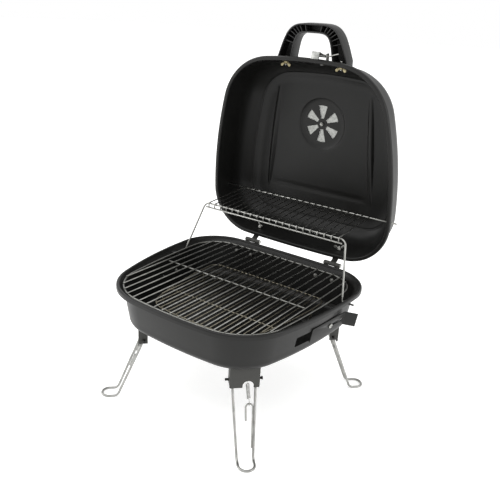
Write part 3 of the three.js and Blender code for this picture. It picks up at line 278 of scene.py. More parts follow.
# Carry handle
handle_half_width = 68
handle_height = 56
handle_power = 4.4
handle_taper = 0.3
grip_half_width = 40
grip_height = 41
grip_power = 5
grip_taper = 0.2
handle_base_y = -169
handle_root = 14
handle_depth = 24
handle_rise = 31
handle_wall = 2.5
handle_rib_count = 14
handle_rib = 1.4
handle_rib_drop = 2
handle_rib_edge = 0.3
handle_rib_sink = 0.5
handle_foot = 5
handle_foot_recess = 1.5
handle_foot_set = 0.5
handle_foot_edge = 0.4
handle_edge = 0.6
handle_steps = 56
lid_block_steps = 16
handle_bolt_x = handle_half_width - 13
handle_bolt_rise = 39

# Latch
latch_x = 31
latch_plate_width = 14
latch_ear_spacing = 19
latch_ear_height = 9
latch_thickness = 1
latch_pin_rise = 15
latch_pin_y = -177
latch_pin_radius = 1.2
latch_hook_reach = 12
latch_drop = 24.6
latch_swing = math.radians(20)
latch_lever_reach = 15
latch_lever_drop = 5
latch_pin_overhang = 4
latch_edge = 0.3
latch_back_room = 0.3
latch_rivet_depth = 3
latch_rivet_tail = 0.5
latch_rivet_radius = 1.5
latch_rivet_head = ((0, 2.2), (0.5, 3), (1, 3))
latch_neck = ((-0.9, 1.0), (-0.3, -1.2), (0, -3))
latch_foot_bend = ((0, 1.2), (0.35, 0.35), (1.2, 0))
latch_barrel_radius = 2.5
latch_bore_overrun = 2

# Legs
bracket_inset = 44
bracket_width = 46
bracket_height = 35
bracket_depth = 8.7
bracket_ear_reach = 6
bracket_web_reach = 15
bracket_sheet = 1.5
notch_radius = 8.5
notch_depth = 11.5
notch_x = 5.5
notch_steps = 20
bracket_corner = 2.0
bracket_corner_steps = 5
bracket_bore_length = 80
bracket_edge = 0.35
leg_pivot_drop = 25
leg_pin_radius = 2
leg_pin_length = 58
leg_pin_tip = ((0, 1.3), (0.5, leg_pin_radius))
leg_pin_head = ((1.6, leg_pin_radius), (1.5, 2.9), (0.5, 2.9), (0, 2.2))
leg_wire = 2
leg_top_half = 18.4
leg_bottom_half = 12.5
leg_eye_radius = 4.6
leg_start_run = 3.3
leg_length = 121
leg_splay = math.radians(22.5)
foot_length = 26
ankle_bend = 7
foot_bend = 12.4
rivet_radius = 2.4
rivet_inset = 9
rivet_head = 1.8
rivet_head_profile = ((0, 3.2), (0.5, 4.2), (1.2, 4.8), (rivet_head, 4.8))

# Leg spring and hook wire
spring_radius = 2.6
spring_wire = 0.55
spring_pitch = 1.9
spring_curls = 12
spring_top_x = 5
spring_steps = 16
spring_hook_room = 0.35
spring_hook_tail = 1.2
spring_hook_steps = 4
hook_wire = 1.4
hook_crown_drop = 38.4
hook_bend = 5.6
hook_short_arm = 20
hook_long_arm = 61
hook_weld = 0.5
crown_steps = 16

# Places
rim_middle = Vector(((bowl_low.x + bowl_high.x) / 2, (bowl_low.y + bowl_high.y) / 2, bowl_high.z))
bowl_place = Matrix.Translation(rim_middle) @ Matrix.Scale(mm, 4)
hinge_point = Vector((0, hinge_y, -hinge_drop))
lid_turn = Matrix.Rotation(-lid_open, 4, "X")
lid_place = bowl_place @ Matrix.Translation(hinge_point) @ lid_turn @ Matrix.Translation(-hinge_point)
latch_point = Vector((latch_x, latch_pin_y, latch_pin_rise))
latch_place = lid_place @ Matrix.Translation(latch_point) @ Matrix.Rotation(-latch_swing, 4, "X")
left_of = Matrix.Scale(-1, 4, (1, 0, 0))


# Modelling helpers

def deselect():
    bpy.ops.object.select_all(action="DESELECT")


def choose(piece):
    deselect()
    piece.select_set(True)
    bpy.context.view_layer.objects.active = piece


def added(name):
    """The primitive that was just added, under its own name."""
    piece = bpy.context.object
    piece.name = name
    piece.data.name = name
    return piece


def move_ring(piece, before, after):
    """Moves the selected ring of points from the places before to the places after."""
    tree = KDTree(len(before))
    for index, place in enumerate(before):
        tree.insert(place, index)
    tree.balance()
    shape = bmesh.from_edit_mesh(piece.data)
    for vertex in shape.verts:
        if vertex.select:
            vertex.co = after[tree.find(vertex.co)[1]]
    bmesh.update_edit_mesh(piece.data)


def loft(name, rings, caps=True, loop=False):
    """A skin through rings of points, each ring extruded from the one before."""
    deselect()
    bpy.ops.mesh.primitive_circle_add(vertices=len(rings[0]), fill_type="NOTHING")
    piece = added(name)
    for vertex, place in zip(piece.data.vertices, rings[0]):
        vertex.co = place
    bpy.ops.object.mode_set(mode="EDIT")
    bpy.ops.mesh.select_mode(type="VERT")
    bpy.ops.mesh.select_all(action="SELECT")
    following = rings[1:] + (rings[:1] if loop else [])
    for before, after in zip(rings, following):
        bpy.ops.mesh.extrude_edges_indiv()
        move_ring(piece, before, after)
    bpy.ops.mesh.select_all(action="SELECT")
    if loop:
        bpy.ops.mesh.remove_doubles(threshold=0.0001)
    elif caps:
        bpy.ops.mesh.fill_holes(sides=0)
    bpy.ops.mesh.normals_make_consistent(inside=False)
    bpy.ops.object.mode_set(mode="OBJECT")
    return piece


def apply_modifier(piece, kind, **settings):
    choose(piece)
    modifier = piece.modifiers.new(kind.lower(), kind)
    for name, value in settings.items():
        setattr(modifier, name, value)
    bpy.ops.object.modifier_apply(modifier=modifier.name)
    return piece


def bevelled(piece, width, segments=2, sharper_than=35):
    limit = {"limit_method": "ANGLE", "angle_limit": math.radians(sharper_than)}
    return apply_modifier(piece, "BEVEL", width=width, segments=segments, **limit)


def combined(piece, tools, operation="DIFFERENCE"):
    for tool in tools:
        apply_modifier(piece, "BOOLEAN", object=tool, operation=operation, solver="EXACT")
        bpy.data.objects.remove(tool, do_unlink=True)
    return piece


def copied(piece, name, place=None):
    twin = piece.copy()
    twin.data = piece.data.copy()
    twin.name = name
    twin.data.name = name
    bpy.context.collection.objects.link(twin)
    if place is not None:
        twin.data.transform(place)
    return twin


def joined(name, pieces):
    deselect()
    for piece in pieces:
        piece.select_set(True)
    bpy.context.view_layer.objects.active = pieces[0]
    bpy.ops.object.join()
    return added(name)


def settled(piece, body, finish, nodes=(), place=bowl_place, smooth=40):
    """Puts a finished piece in its place in metres, on its body, with its finish."""
    piece.data.transform(place)
    if place.determinant() < 0:
        piece.data.flip_normals()
    choose(piece)
    bpy.ops.object.shade_smooth_by_angle(angle=math.radians(smooth))
    materials, slot = finish
    for material in materials:
        piece.data.materials.append(material)
    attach(piece, body)
    if nodes:
        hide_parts(*nodes)
    return piece


# Shapes

def block(name, size, centre, edge=0.3, place=None):
    """A block of sheet or bar with its edges broken."""
    deselect()
    bpy.ops.mesh.primitive_cube_add(size=1, location=(0, 0, 0))
    piece = added(name)
    piece.data.transform(Matrix.Translation(Vector(centre)) @ Matrix.Diagonal((*size, 1)))
    if edge:
        bevelled(piece, edge)
    if place is not None:
        piece.data.transform(place)
    return piece


def circle(centre, radius, along, sides=24, start=0.0):
    """Points round a line: the first one lies across it."""
    axis = Vector(along).normalized()
    across = axis.orthogonal().normalized()
    up = axis.cross(across)
    turns = [start + 2 * math.pi * k / sides for k in range(sides)]
    return [Vector(centre) + radius * (math.cos(turn) * across + math.sin(turn) * up) for turn in turns]


def turned(name, profile, start, along, sides=24):
    """A turned piece: a profile of (distance along, radius) about a line."""
    axis = Vector(along).normalized()
    rings = [circle(Vector(start) + axis * distance, radius, axis, sides) for distance, radius in profile]
    return loft(name, rings)


def rod(name, start, end, radius, edge=0.3, sides=20):
    """A round rod with chamfered ends."""
    length = (Vector(end) - Vector(start)).length
    profile = [(0, radius - edge), (edge, radius), (length - edge, radius), (length, radius - edge)]
    return turned(name, profile, start, Vector(end) - Vector(start), sides)


def rounded(points, bends, steps=8):
    """The same route with its corners rounded, each by its own bend."""
    route = [Vector(points[0])]
    for index in range(1, len(points) - 1):
        corner = Vector(points[index])
        back = Vector(points[index - 1]) - corner
        ahead = Vector(points[index + 1]) - corner
        bend = bends[index - 1] if isinstance(bends, (list, tuple)) else bends
        reach = min(bend, back.length * 0.49, ahead.length * 0.49)
        start = corner + back.normalized() * reach
        end = corner + ahead.normalized() * reach
        half_angle = back.angle(ahead) / 2
        inward = (back.normalized() + ahead.normalized()).normalized()
        centre = corner + inward * reach / math.cos(half_angle)
        radius = (start - centre).length
        for k in range(steps + 1):
            route.append(centre + (start - centre).slerp(end - centre, k / steps) * radius)
    route.append(Vector(points[-1]))
    return route


def wire(name, points, radius, bends=None, sides=12, loop=False, first_side=None):
    """A drawn wire along a route, its cut ends rounded."""
    route = rounded(points, bends) if bends else [Vector(point) for point in points]
    radii = [radius] * len(route)
    if not loop:
        start_way = (route[1] - route[0]).normalized() * radius / 2
        end_way = (route[-1] - route[-2]).normalized() * radius / 2
        route = [route[0], route[0] + start_way, *route[1:-1], route[-1] - end_way, route[-1]]
        radii = [radius / 2, *([radius] * (len(route) - 2)), radius / 2]
    count = len(route)
    ways = []
    for index, point in enumerate(route):
        before = route[index - 1] if loop or index else route[0]
        after = route[(index + 1) % count] if loop or index < count - 1 else route[-1]
        ways.append(((point - before).normalized() + (after - point).normalized()).normalized())
    side = Vector(first_side) if first_side else ways[0].orthogonal()
    rings = []
    for point, way, thick in zip(route, ways, radii):
        side = (side - way * side.dot(way)).normalized()
        up = way.cross(side)
        turns = [2 * math.pi * k / sides for k in range(sides)]
        rings.append([point + thick * (math.cos(turn) * side + math.sin(turn) * up) for turn in turns])
    return loft(name, rings, loop=loop)


def plate(name, outline_points, thickness, edge=0.25):
    """A flat outline in X and Y, given a thickness upwards."""
    rings = [[Vector((x, y, z)) for x, y in outline_points] for z in (0, thickness)]
    piece = loft(name, rings)
    return bevelled(piece, edge) if edge else piece


def mitre(points, index):
    here = Vector(points[index])
    before = Vector(points[max(index - 1, 0)])
    after = Vector(points[min(index + 1, len(points) - 1)])
    into = (here - before) if index else (after - here)
    out = (after - here) if index < len(points) - 1 else (here - before)
    first = Vector((-into.y, into.x)).normalized()
    second = Vector((-out.y, out.x)).normalized()
    middle = (first + second).normalized()
    return middle / max(middle.dot(first), 0.5)


def bent_strip(name, profile, thickness, width, x=0, edge=0.25):
    """A strip of sheet bent along a side profile of (y, z), its edges broken."""
    sides = [(Vector(point), mitre(profile, index) * thickness / 2) for index, point in enumerate(profile)]
    around = [point + half for point, half in sides] + [point - half for point, half in reversed(sides)]
    rings = [[Vector((x + k * width / 2, p.x, p.y)) for p in around] for k in (-1, 1)]
    piece = loft(name, rings)
    return bevelled(piece, edge) if edge else piece


def arc(centre, radius, start, end, steps):
    turns = [start + (end - start) * k / steps for k in range(steps + 1)]
    return [(centre[0] + radius * math.cos(turn), centre[1] + radius * math.sin(turn)) for turn in turns]


# Plan outline

def outline_radii():
    spans = [math.sin(b) - math.sin(a) for a, b in zip(outline_turns, outline_turns[1:])]
    front = (rim_width / 2 - front_corner_radius * spans[1] - side_radius * spans[2]) / spans[0]
    rear = -(rim_width / 2 + rear_corner_radius * spans[3]) / spans[4]
    return [front, front_corner_radius, side_radius, rear_corner_radius, rear]


arc_radii = outline_radii()


def arc_centre(index):
    x, y = 0, -rim_depth / 2
    for k in range(index):
        x += arc_radii[k] * (math.sin(outline_turns[k + 1]) - math.sin(outline_turns[k]))
        y += arc_radii[k] * (math.cos(outline_turns[k]) - math.cos(outline_turns[k + 1]))
    turn = outline_turns[index]
    return x - arc_radii[index] * math.sin(turn), y + arc_radii[index] * math.cos(turn)


def outline(inset, front_inset=None):
    """Points round the rims' outline, drawn in by an inset that may be another one at the front."""
    front = inset if front_inset is None else front_inset
    half = []
    for index, radius in enumerate(arc_radii):
        cx, cy = arc_centre(index)
        start, end = outline_turns[index], outline_turns[index + 1]
        for k in range(outline_steps[index]):
            share = k / outline_steps[index]
            turn = start + (end - start) * share
            towards_front = 1 if index < side_arc else (1 - share) ** 2 if index == side_arc else 0
            reach = radius - inset - (front - inset) * towards_front
            half.append((cx + reach * math.sin(turn), cy - reach * math.cos(turn)))
    left = [(-x, y) for x, y in reversed(half[1:])]
    return [*half, (0, rim_depth / 2 - inset), *left]


def outline_ring(inset, z, front_inset=None):
    return [Vector((x, y, z)) for x, y in outline(inset, front_inset)]


def crossings(inset, value, axis, front_inset=None):
    """Where the outline meets a line of constant x or y."""
    points = outline(inset, front_inset)
    found = []
    for first, second in zip(points, points[1:] + points[:1]):
        a, b = first[axis] - value, second[axis] - value
        if a * b <= 0 and a != b:
            found.append(first[1 - axis] + (second[1 - axis] - first[1 - axis]) * a / (a - b))
    return found


def front_and_rear(inset, x, front_inset=None):
    found = crossings(inset, x, 0, front_inset)
    return min(found), max(found)


def half_width(inset, y):
    return max(crossings(inset, y, 1))


def wire_places(half, pitch):
    beside = math.floor(half / pitch)
    return [pitch * k for k in range(-beside, beside + 1)]


# Materials

def colour(code):
    """An sRGB hex value as a linear colour."""
    parts = [int(code[k:k + 2], 16) / 255 for k in (1, 3, 5)]
    linear = [part / 12.92 if part <= 0.04045 else ((part + 0.055) / 1.055) ** 2.4 for part in parts]
    return (*linear, 1)


def add_node(tree, kind, settings=None, inputs=None):
    """Adds a node with its settings, and its inputs as values or as links from other sockets."""
    made = tree.nodes.new(kind)
    for name, value in (settings or {}).items():
        setattr(made, name, value)
    for name, value in (inputs or {}).items():
        if isinstance(value, bpy.types.NodeSocket):
            tree.links.new(value, made.inputs[name])
        else:
            made.inputs[name].default_value = value
    return made


def ramp(tree, source, low, high, low_colour, high_colour):
    made = add_node(tree, "ShaderNodeValToRGB", {}, {"Fac": source})
    first, last = made.color_ramp.elements
    first.position, last.position = low, high
    first.color, last.color = colour(low_colour), colour(high_colour)
    return made.outputs["Color"]


def noise(tree, place, grain, detail=2.0, roughness=0.5):
    """Noise whose lumps are about grain millimetres across."""
    inputs = {"Vector": place, "Scale": 1 / (grain * mm), "Detail": detail, "Roughness": roughness}
    return add_node(tree, "ShaderNodeTexNoise", {}, inputs).outputs["Fac"]


def span(tree, source, low, high):
    inputs = {"Value": source, "From Min": 0.3, "From Max": 0.7, "To Min": low, "To Max": high}
    return add_node(tree, "ShaderNodeMapRange", {}, inputs).outputs["Result"]


def bump(tree, height, strength, depth, below=None):
    inputs = {"Height": height, "Strength": strength, "Distance": depth * mm}
    if below is not None:
        inputs["Normal"] = below
    return add_node(tree, "ShaderNodeBump", {}, inputs).outputs["Normal"]


def new_material(name):
    material = bpy.data.materials.new(name)
    material.use_nodes = True
    tree = material.node_tree
    tree.nodes.clear()
    output = add_node(tree, "ShaderNodeOutputMaterial")
    shader = add_node(tree, "ShaderNodeBsdfPrincipled")
    tree.links.new(shader.outputs["BSDF"], output.inputs["Surface"])
    place = add_node(tree, "ShaderNodeTexCoord").outputs["Object"]
    return material, tree, shader, place


def link(tree, shader, **sockets):
    for name, source in sockets.items():
        tree.links.new(source, shader.inputs[name.replace("_", " ")])


def heat_enamel(name, dark, light, rough_low, rough_high, level):
    # Sprayed and baked silicone enamel on steel: satin, with orange peel and a faint cloudiness
    material, tree, shader, place = new_material(name)
    clouds = noise(tree, place, 55, 3)
    peel = noise(tree, place, 1.4, 2, 0.4)
    grit = noise(tree, place, 0.5, 2)
    shader.inputs["Specular IOR Level"].default_value = level
    under = bump(tree, grit, 0.12, 0.05)
    link(
        tree, shader,
        Base_Color=ramp(tree, clouds, 0.35, 0.65, dark, light),
        Roughness=span(tree, clouds, rough_low, rough_high),
        Normal=bump(tree, peel, 0.1, 0.12, under),
    )
    return material


def plated_metal(name, dark, light, rough_low, rough_high, grain, dent):
    # Bright plating over drawn or stamped steel: a metal gloss with fine marks left by the die
    material, tree, shader, place = new_material(name)
    marks = noise(tree, place, grain, 4, 0.6)
    tone = noise(tree, place, 9, 2)
    shader.inputs["Metallic"].default_value = 1.0
    link(
        tree, shader,
        Base_Color=ramp(tree, tone, 0.3, 0.7, dark, light),
        Roughness=span(tree, marks, rough_low, rough_high),
        Normal=bump(tree, marks, 0.15, dent),
    )
    return material


def zinc_sheet(name, dark, light):
    # Zinc plated sheet: pale, dull grey, with a faint spangle of crystals about 2 mm across
    material, tree, shader, place = new_material(name)
    inputs = {"Vector": place, "Scale": 1 / (2.2 * mm)}
    spangle = add_node(tree, "ShaderNodeTexVoronoi", {"feature": "F1"}, inputs).outputs["Color"]
    grey = add_node(tree, "ShaderNodeSeparateColor", {}, {"Color": spangle}).outputs["Red"]
    haze = noise(tree, place, 0.6, 3)
    shader.inputs["Metallic"].default_value = 1.0
    link(
        tree, shader,
        Base_Color=ramp(tree, grey, 0.0, 1.0, dark, light),
        Roughness=span(tree, haze, 0.36, 0.5),
        Normal=bump(tree, haze, 0.08, 0.03),
    )
    return material


def black_coat(name, dark, light):
    # Electrocoated steel: thin, even and nearly matt black, with bare grey specks on the cut edges
    material, tree, shader, place = new_material(name)
    haze = noise(tree, place, 0.8, 3)
    tone = noise(tree, place, 12, 2)
    worn = add_node(tree, "ShaderNodeNewGeometry").outputs["Pointiness"]
    edges = add_node(tree, "ShaderNodeMapRange", {}, {
        "Value": worn, "From Min": 0.52, "From Max": 0.6, "To Min": 0.0, "To Max": 0.35,
    }).outputs["Result"]
    body = ramp(tree, tone, 0.3, 0.7, dark, light)
    mixed = add_node(tree, "ShaderNodeMix", {"data_type": "RGBA"}, {"Factor": edges})
    tree.links.new(body, mixed.inputs[6])
    mixed.inputs[7].default_value = colour("#6a6a67")
    shader.inputs["Specular IOR Level"].default_value = 0.14
    link(
        tree, shader,
        Base_Color=mixed.outputs[2],
        Roughness=span(tree, haze, 0.42, 0.56),
        Normal=bump(tree, haze, 0.1, 0.04),
    )
    return material


def moulded_plastic(name, dark, light):
    # Moulded phenolic: matt black with the fine grain of an etched tool
    material, tree, shader, place = new_material(name)
    grain = noise(tree, place, 0.45, 3, 0.6)
    tone = noise(tree, place, 20, 2)
    shader.inputs["IOR"].default_value = 1.5
    link(
        tree, shader,
        Base_Color=ramp(tree, tone, 0.35, 0.65, dark, light),
        Roughness=span(tree, grain, 0.46, 0.6),
        Normal=bump(tree, grain, 0.25, 0.06),
    )
    return material


def studio_floor(name):
    # Opal acrylic table lit softly from below: matt and pale, so that shadows stay faint
    material, tree, shader, place = new_material(name)
    haze = noise(tree, place, 4, 3)
    shader.inputs["Emission Color"].default_value = (1.0, 1.0, 1.0, 1.0)
    shader.inputs["Emission Strength"].default_value = 0.38
    link(
        tree, shader,
        Base_Color=ramp(tree, haze, 0.2, 0.8, "#f6f6f5", "#f9f9f8"),
        Roughness=span(tree, haze, 0.85, 0.95),
    )
    return material


sprayed_enamel = heat_enamel("satin_heat_enamel", "#131312", "#171716", 0.34, 0.42, 0.26)
chrome_wire = plated_metal("bright_plated_wire", "#8e8e8a", "#a8a8a4", 0.24, 0.34, 0.9, 0.02)
grate_wire_plating = plated_metal("plated_grate_wire", "#747470", "#8f8f8b", 0.30, 0.40, 0.9, 0.02)
coal_wire_plating = plated_metal("dull_plated_grate_wire", "#6f6b60", "#8a8577", 0.34, 0.46, 0.9, 0.02)
leg_plating = plated_metal("zinc_plated_wire", "#8f8f8c", "#a9a9a6", 0.30, 0.42, 0.9, 0.03)
screw_plating = plated_metal("zinc_plated_fasteners", "#9a9a96", "#b4b4b0", 0.28, 0.40, 0.7, 0.03)
yellow_plating = plated_metal("yellow_passivated_nuts", "#6b634a", "#a39a7c", 0.25, 0.36, 0.7, 0.03)
spangled_zinc = zinc_sheet("zinc_plated_sheet", "#8f908d", "#a8a9a6")
coated_steel = black_coat("electrocoated_steel", "#0b0b0b", "#101010")
# A lighter grey copy of the black coat, for the hinge straps
hinge_coat = black_coat("lighter_coated_hinge_steel", "#2c2c2a", "#383836")
phenolic = moulded_plastic("moulded_phenolic", "#0c0c0c", "#121212")

enamel = ([sprayed_enamel], "enamel")
black_steel = ([coated_steel], "blackSteel")
hinge_steel = ([hinge_coat], "blackSteel")
chrome = ([chrome_wire], "chrome")
tipped_chrome = ([chrome_wire, coated_steel], "chrome")
grate_chrome = ([grate_wire_plating], "chrome")
coal_chrome = ([coal_wire_plating], "chrome")
plated_leg = ([leg_plating], "chrome")
zinc = ([screw_plating], "zinc")
zinc_plate = ([spangled_zinc], "zinc")
brass = ([yellow_plating], "brass")
plastic = ([phenolic], "plastic")


# Bowl

bowl_floor_edge = wall_bottom_inset + bowl_fillet
bowl_floor_z = -bowl_depth + sheet / 2
wall_height = bowl_depth - bowl_fillet - wall_top_drop
wall_draw = wall_bottom_inset - wall_top_inset
wall_tilt = math.atan2(wall_draw, wall_height)
bowl_rear_normal = Vector((0, math.cos(wall_tilt), -math.sin(wall_tilt)))


def bowl_wall_inset(drop):
    """The outer face of the bowl's wall, as an inset, at a drop below the rim."""
    return wall_top_inset + wall_draw * (drop - wall_top_drop) / wall_height - sheet / 2


def pressed_pan(section, middle, floor_rings, floor_z, end_radius):
    """A pan from its free edge to its flat: rings that follow the outline, then close in on a circle."""
    rings = [outline_ring(inset, z) for inset, z in section]
    last = rings[-1]
    for k in range(1, floor_rings + 1):
        share = k / floor_rings
        ring = []
        for point in last:
            way = Vector((point.x - middle[0], point.y - middle[1], 0)).normalized()
            goal = Vector((middle[0], middle[1], floor_z)) + way * end_radius
            ring.append(point.lerp(goal, share))
        rings.append(ring)
    return rings


def pan_from(name, rings, closed):
    piece = loft(name, rings, caps=False)
    choose(piece)
    bpy.ops.object.mode_set(mode="EDIT")
    if closed:
        bpy.ops.mesh.select_all(action="DESELECT")
        shape = bmesh.from_edit_mesh(piece.data)
        near = (rings[-1][0] - rings[-1][1]).length / 10
        tree = KDTree(len(rings[-1]))
        for index, place in enumerate(rings[-1]):
            tree.insert(place, index)
        tree.balance()
        for vertex in shape.verts:
            vertex.select = tree.find(vertex.co)[2] < near
        shape.select_flush(True)
        bmesh.update_edit_mesh(piece.data)
        bpy.ops.mesh.edge_face_add()
    bpy.ops.mesh.select_all(action="SELECT")
    bpy.ops.mesh.normals_make_consistent(inside=False)
    bpy.ops.object.mode_set(mode="OBJECT")
    return piece


def walled(piece):
    """Gives a pressed skin its sheet thickness, half of it to each side."""
    middle = sum((Vector(v.co) for v in piece.data.vertices), Vector()) / len(piece.data.vertices)
    widest = max(piece.data.polygons, key=lambda face: (Vector(face.center) - middle).length)
    if widest.normal.dot(Vector(widest.center) - middle) < 0:
        piece.data.flip_normals()
    return apply_modifier(piece, "SOLIDIFY", thickness=sheet, offset=0, use_even_offset=True)


def make_bowl():
    bead_inset = sheet / 2 + bead_radius
    bead = arc((bead_inset, -bead_inset), bead_radius, math.pi, 0, bead_steps)
    fillet_centre = (bowl_floor_edge, bowl_floor_z + bowl_fillet)
    fillet = arc(fillet_centre, bowl_fillet, math.pi, 3 * quarter, bowl_fillet_steps)
    shoulder = [(bead_inset + bead_radius + shoulder_run, -bead_inset - shoulder_drop),
                (wall_top_inset - wall_turn_run, -wall_top_drop + wall_turn_rise)]
    walls = []
    for k in range(bowl_wall_steps):
        share = k / bowl_wall_steps
        walls.append((wall_top_inset + wall_draw * share, -wall_top_drop - wall_height * share))
    section = [(sheet / 2, -rim_lip_drop), *bead, *shoulder, *walls, *fillet]
    rings = pressed_pan(section, (0, 0), bowl_floor_rings, bowl_floor_z, bowl_floor_circle)
    piece = walled(pan_from("bowl_pan", rings, True))
    wall_x = half_width(bowl_wall_inset(slot_drop), slot_centre_y)
    size = (vent_cut_reach, slot_length, slot_height)
    slots = []
    for k in (-1, 1):
        slots.append(block("slot", size, (k * wall_x, slot_centre_y, -slot_drop), vent_cut_corner))
    combined(piece, slots)
    tab_z = -grate_drop - frame_wire - gap - tab_size[2] / 2
    tabs = []
    for sx in (-1, 1):
        for sy in (-1, 1):
            x = half_width(tab_root_inset, sy * tab_place) - tab_size[0] / 2
            tabs.append(block("tab", tab_size, (sx * x, sy * tab_place, tab_z)))
    piece = joined("bowl_pan", [piece, *tabs])
    settled(piece, "bowl_body", enamel, ["bowl"], smooth=45)


# Lid

lid_wall_height = lid_height - lid_fillet - lid_foot_rise
lid_wall_tilt = math.atan2(lid_wall_inset - lid_foot_inset, lid_wall_height)
lid_rear_normal = Vector((0, math.cos(lid_wall_tilt), math.sin(lid_wall_tilt)))
lid_front_normal = Vector((0, -math.cos(lid_wall_tilt), math.sin(lid_wall_tilt)))
lid_top = lid_height - sheet / 2


def lid_face_inset(rise):
    share = (rise - lid_foot_rise) / lid_wall_height
    return lid_foot_inset + (lid_wall_inset - lid_foot_inset) * share - sheet / 2


def lid_fillet_with_line():
    """The fillet's section with the thin pressed line that frames the lid's top."""
    cx, cy = lid_wall_inset + lid_fillet, lid_top - lid_fillet
    line = [frame_line_turn + offset for offset in frame_line_offsets]
    points = []
    for turn in [*fillet_low_turns, *line, *fillet_high_turns]:
        beside = (turn - frame_line_turn) / frame_line_spread
        radius = lid_fillet + frame_line_height * math.exp(-beside ** 2)
        angle = math.radians(turn)
        points.append((cx + radius * math.cos(angle), cy + radius * math.sin(angle)))
    return points


def lid_fillet_arc(outside, steps):
    centre = (lid_wall_inset + lid_fillet, lid_top - lid_fillet)
    return arc(centre, lid_fillet + outside, math.pi, quarter, steps)


def lid_relief(x, y):
    """How far the lid's top is pressed down or up at a place."""
    height = 0.0
    for s in (-1, 1):
        dx, dy = x - s * (rim_width / 2 - rib_inset), y - rib_centre_y
        c, t = math.cos(-s * rib_turn), math.sin(-s * rib_turn)
        across, onward = dx * c + dy * t, dy * c - dx * t
        reach = (2 * across / rib_width) ** 2 + (2 * onward / rib_length) ** 2
        if reach < 1:
            height -= (rib_depth - sheet) * (1 - reach) ** rib_roundness
    if abs(x) < crease_half_length and abs(y - crease_y) < crease_half_width:
        ends = min(1, (crease_half_length - abs(x)) / crease_fade)
        height += crease_height * ends * math.cos((y - crease_y) / crease_half_width * quarter) ** 2
    return height


def near_relief(x, y):
    for s in (-1, 1):
        dx, dy = x - s * (rim_width / 2 - rib_inset), y - rib_centre_y
        across = dx * math.cos(rib_turn) - s * dy * math.sin(rib_turn)
        if abs(across) < rib_width / 2 + rib_margin[0] and abs(dy) < rib_length / 2 + rib_margin[1]:
            return True
    along_crease = abs(x) < crease_half_length + crease_margin[0]
    return along_crease and abs(y - crease_y) < crease_half_width + crease_margin[1]


def press_lid_top(piece):
    """Subdivides the flat where it is pressed, then moves its points."""
    choose(piece)
    bpy.ops.object.mode_set(mode="EDIT")
    bpy.ops.mesh.select_mode(type="FACE")
    bpy.ops.mesh.select_all(action="DESELECT")
    shape = bmesh.from_edit_mesh(piece.data)
    for face in shape.faces:
        middle = face.calc_center_median()
        face.select = middle.z > lid_top - flat_tolerance and near_relief(middle.x, middle.y)
    shape.select_flush_mode()
    bmesh.update_edit_mesh(piece.data)
    bpy.ops.mesh.subdivide(number_cuts=relief_cuts)
    shape = bmesh.from_edit_mesh(piece.data)
    for vertex in shape.verts:
        if vertex.co.z > lid_top - flat_tolerance:
            vertex.co.z += lid_relief(vertex.co.x, vertex.co.y)
    bmesh.update_edit_mesh(piece.data)
    bpy.ops.mesh.select_all(action="SELECT")
    bpy.ops.mesh.normals_make_consistent(inside=False)
    bpy.ops.object.mode_set(mode="OBJECT")


def wedge_points(middle_turn):
    half = wedge_angle / 2
    outer = arc((0, vent_y), wedge_outer, middle_turn - half, middle_turn + half, wedge_outer_steps)
    inner = arc((0, vent_y), wedge_inner, middle_turn + half, middle_turn - half, wedge_inner_steps)
    return [*outer, *inner]


def wedge_tools(first_turn, low, high):
    tools = []
    for k in range(wedge_count):
        points = wedge_points(first_turn + 2 * math.pi * k / wedge_count)
        tools.append(loft("wedge", [[Vector((x, y, z)) for x, y in points] for z in (low, high)]))
    return tools


def make_lid():
    foot = lid_foot_inset - sheet
    flange_end = -flange_overhang + sheet / 2
    bend = [(flange_end + run, flange_rise + rise) for run, rise in lip_bend]
    lip = [(-flange_overhang, flange_rise + lid_lip_height), *bend]
    heel_centre = (foot - lid_foot_radius, flange_rise + lid_foot_radius)
    heel = arc(heel_centre, lid_foot_radius, -quarter, 0, heel_steps)
    wall = []
    for k in range(lid_wall_steps):
        share = k / lid_wall_steps
        inset = lid_foot_inset + (lid_wall_inset - lid_foot_inset) * share
        wall.append((inset, lid_foot_rise + lid_wall_height * share))
    section = [*lip, *heel, *wall, *lid_fillet_with_line()]
    rings = pressed_pan(section, (0, vent_y), lid_top_rings, lid_top, field_radius + field_foot)
    field = [(field_radius + out, rise) for out, rise in field_step]
    field += [(radius, field_rise) for radius in (*field_circles, bolt_radius + hole_room)]
    for radius, rise in field:
        ring = []
        for point in rings[-1]:
            way = Vector((point.x, point.y - vent_y, 0)).normalized()
            ring.append(Vector((0, vent_y, lid_top + rise)) + way * radius)
        rings.append(ring)
    piece = pan_from("lid_pan", rings, False)
    press_lid_top(piece)
    walled(piece)
    combined(piece, wedge_tools(quarter, lid_top - wedge_cut[0], lid_top + wedge_cut[1]))
    settled(piece, "lid_body", enamel, ["lid_shell"], lid_place, smooth=40)


# Grates

def make_grate(name, body, node, finish, insets, z, pitch, thin, bar_y, bar_end, extra=()):
    inset, front_inset = insets
    ring = wire(name, outline_ring(inset, z, front_inset), frame_wire, loop=True, first_side=(0, 0, 1))
    top = z + (frame_wire + thin) * weld_share
    places = wire_places(rim_width / 2 - inset - grate_edge_room, pitch)
    wires = []
    for x in places:
        weld = frame_wire / 2
        front, rear = front_and_rear(inset - weld, x, front_inset - weld)
        wires.append(wire("wire", [(x, front, top), (x, rear, top)], thin))
    bar = wire("bar", [(places[0] + bar_end, bar_y, z), (places[-1] - bar_end, bar_y, z)], frame_wire)
    piece = joined(name, [ring, *wires, bar, *extra])
    settled(piece, body, finish, [node], smooth=60)


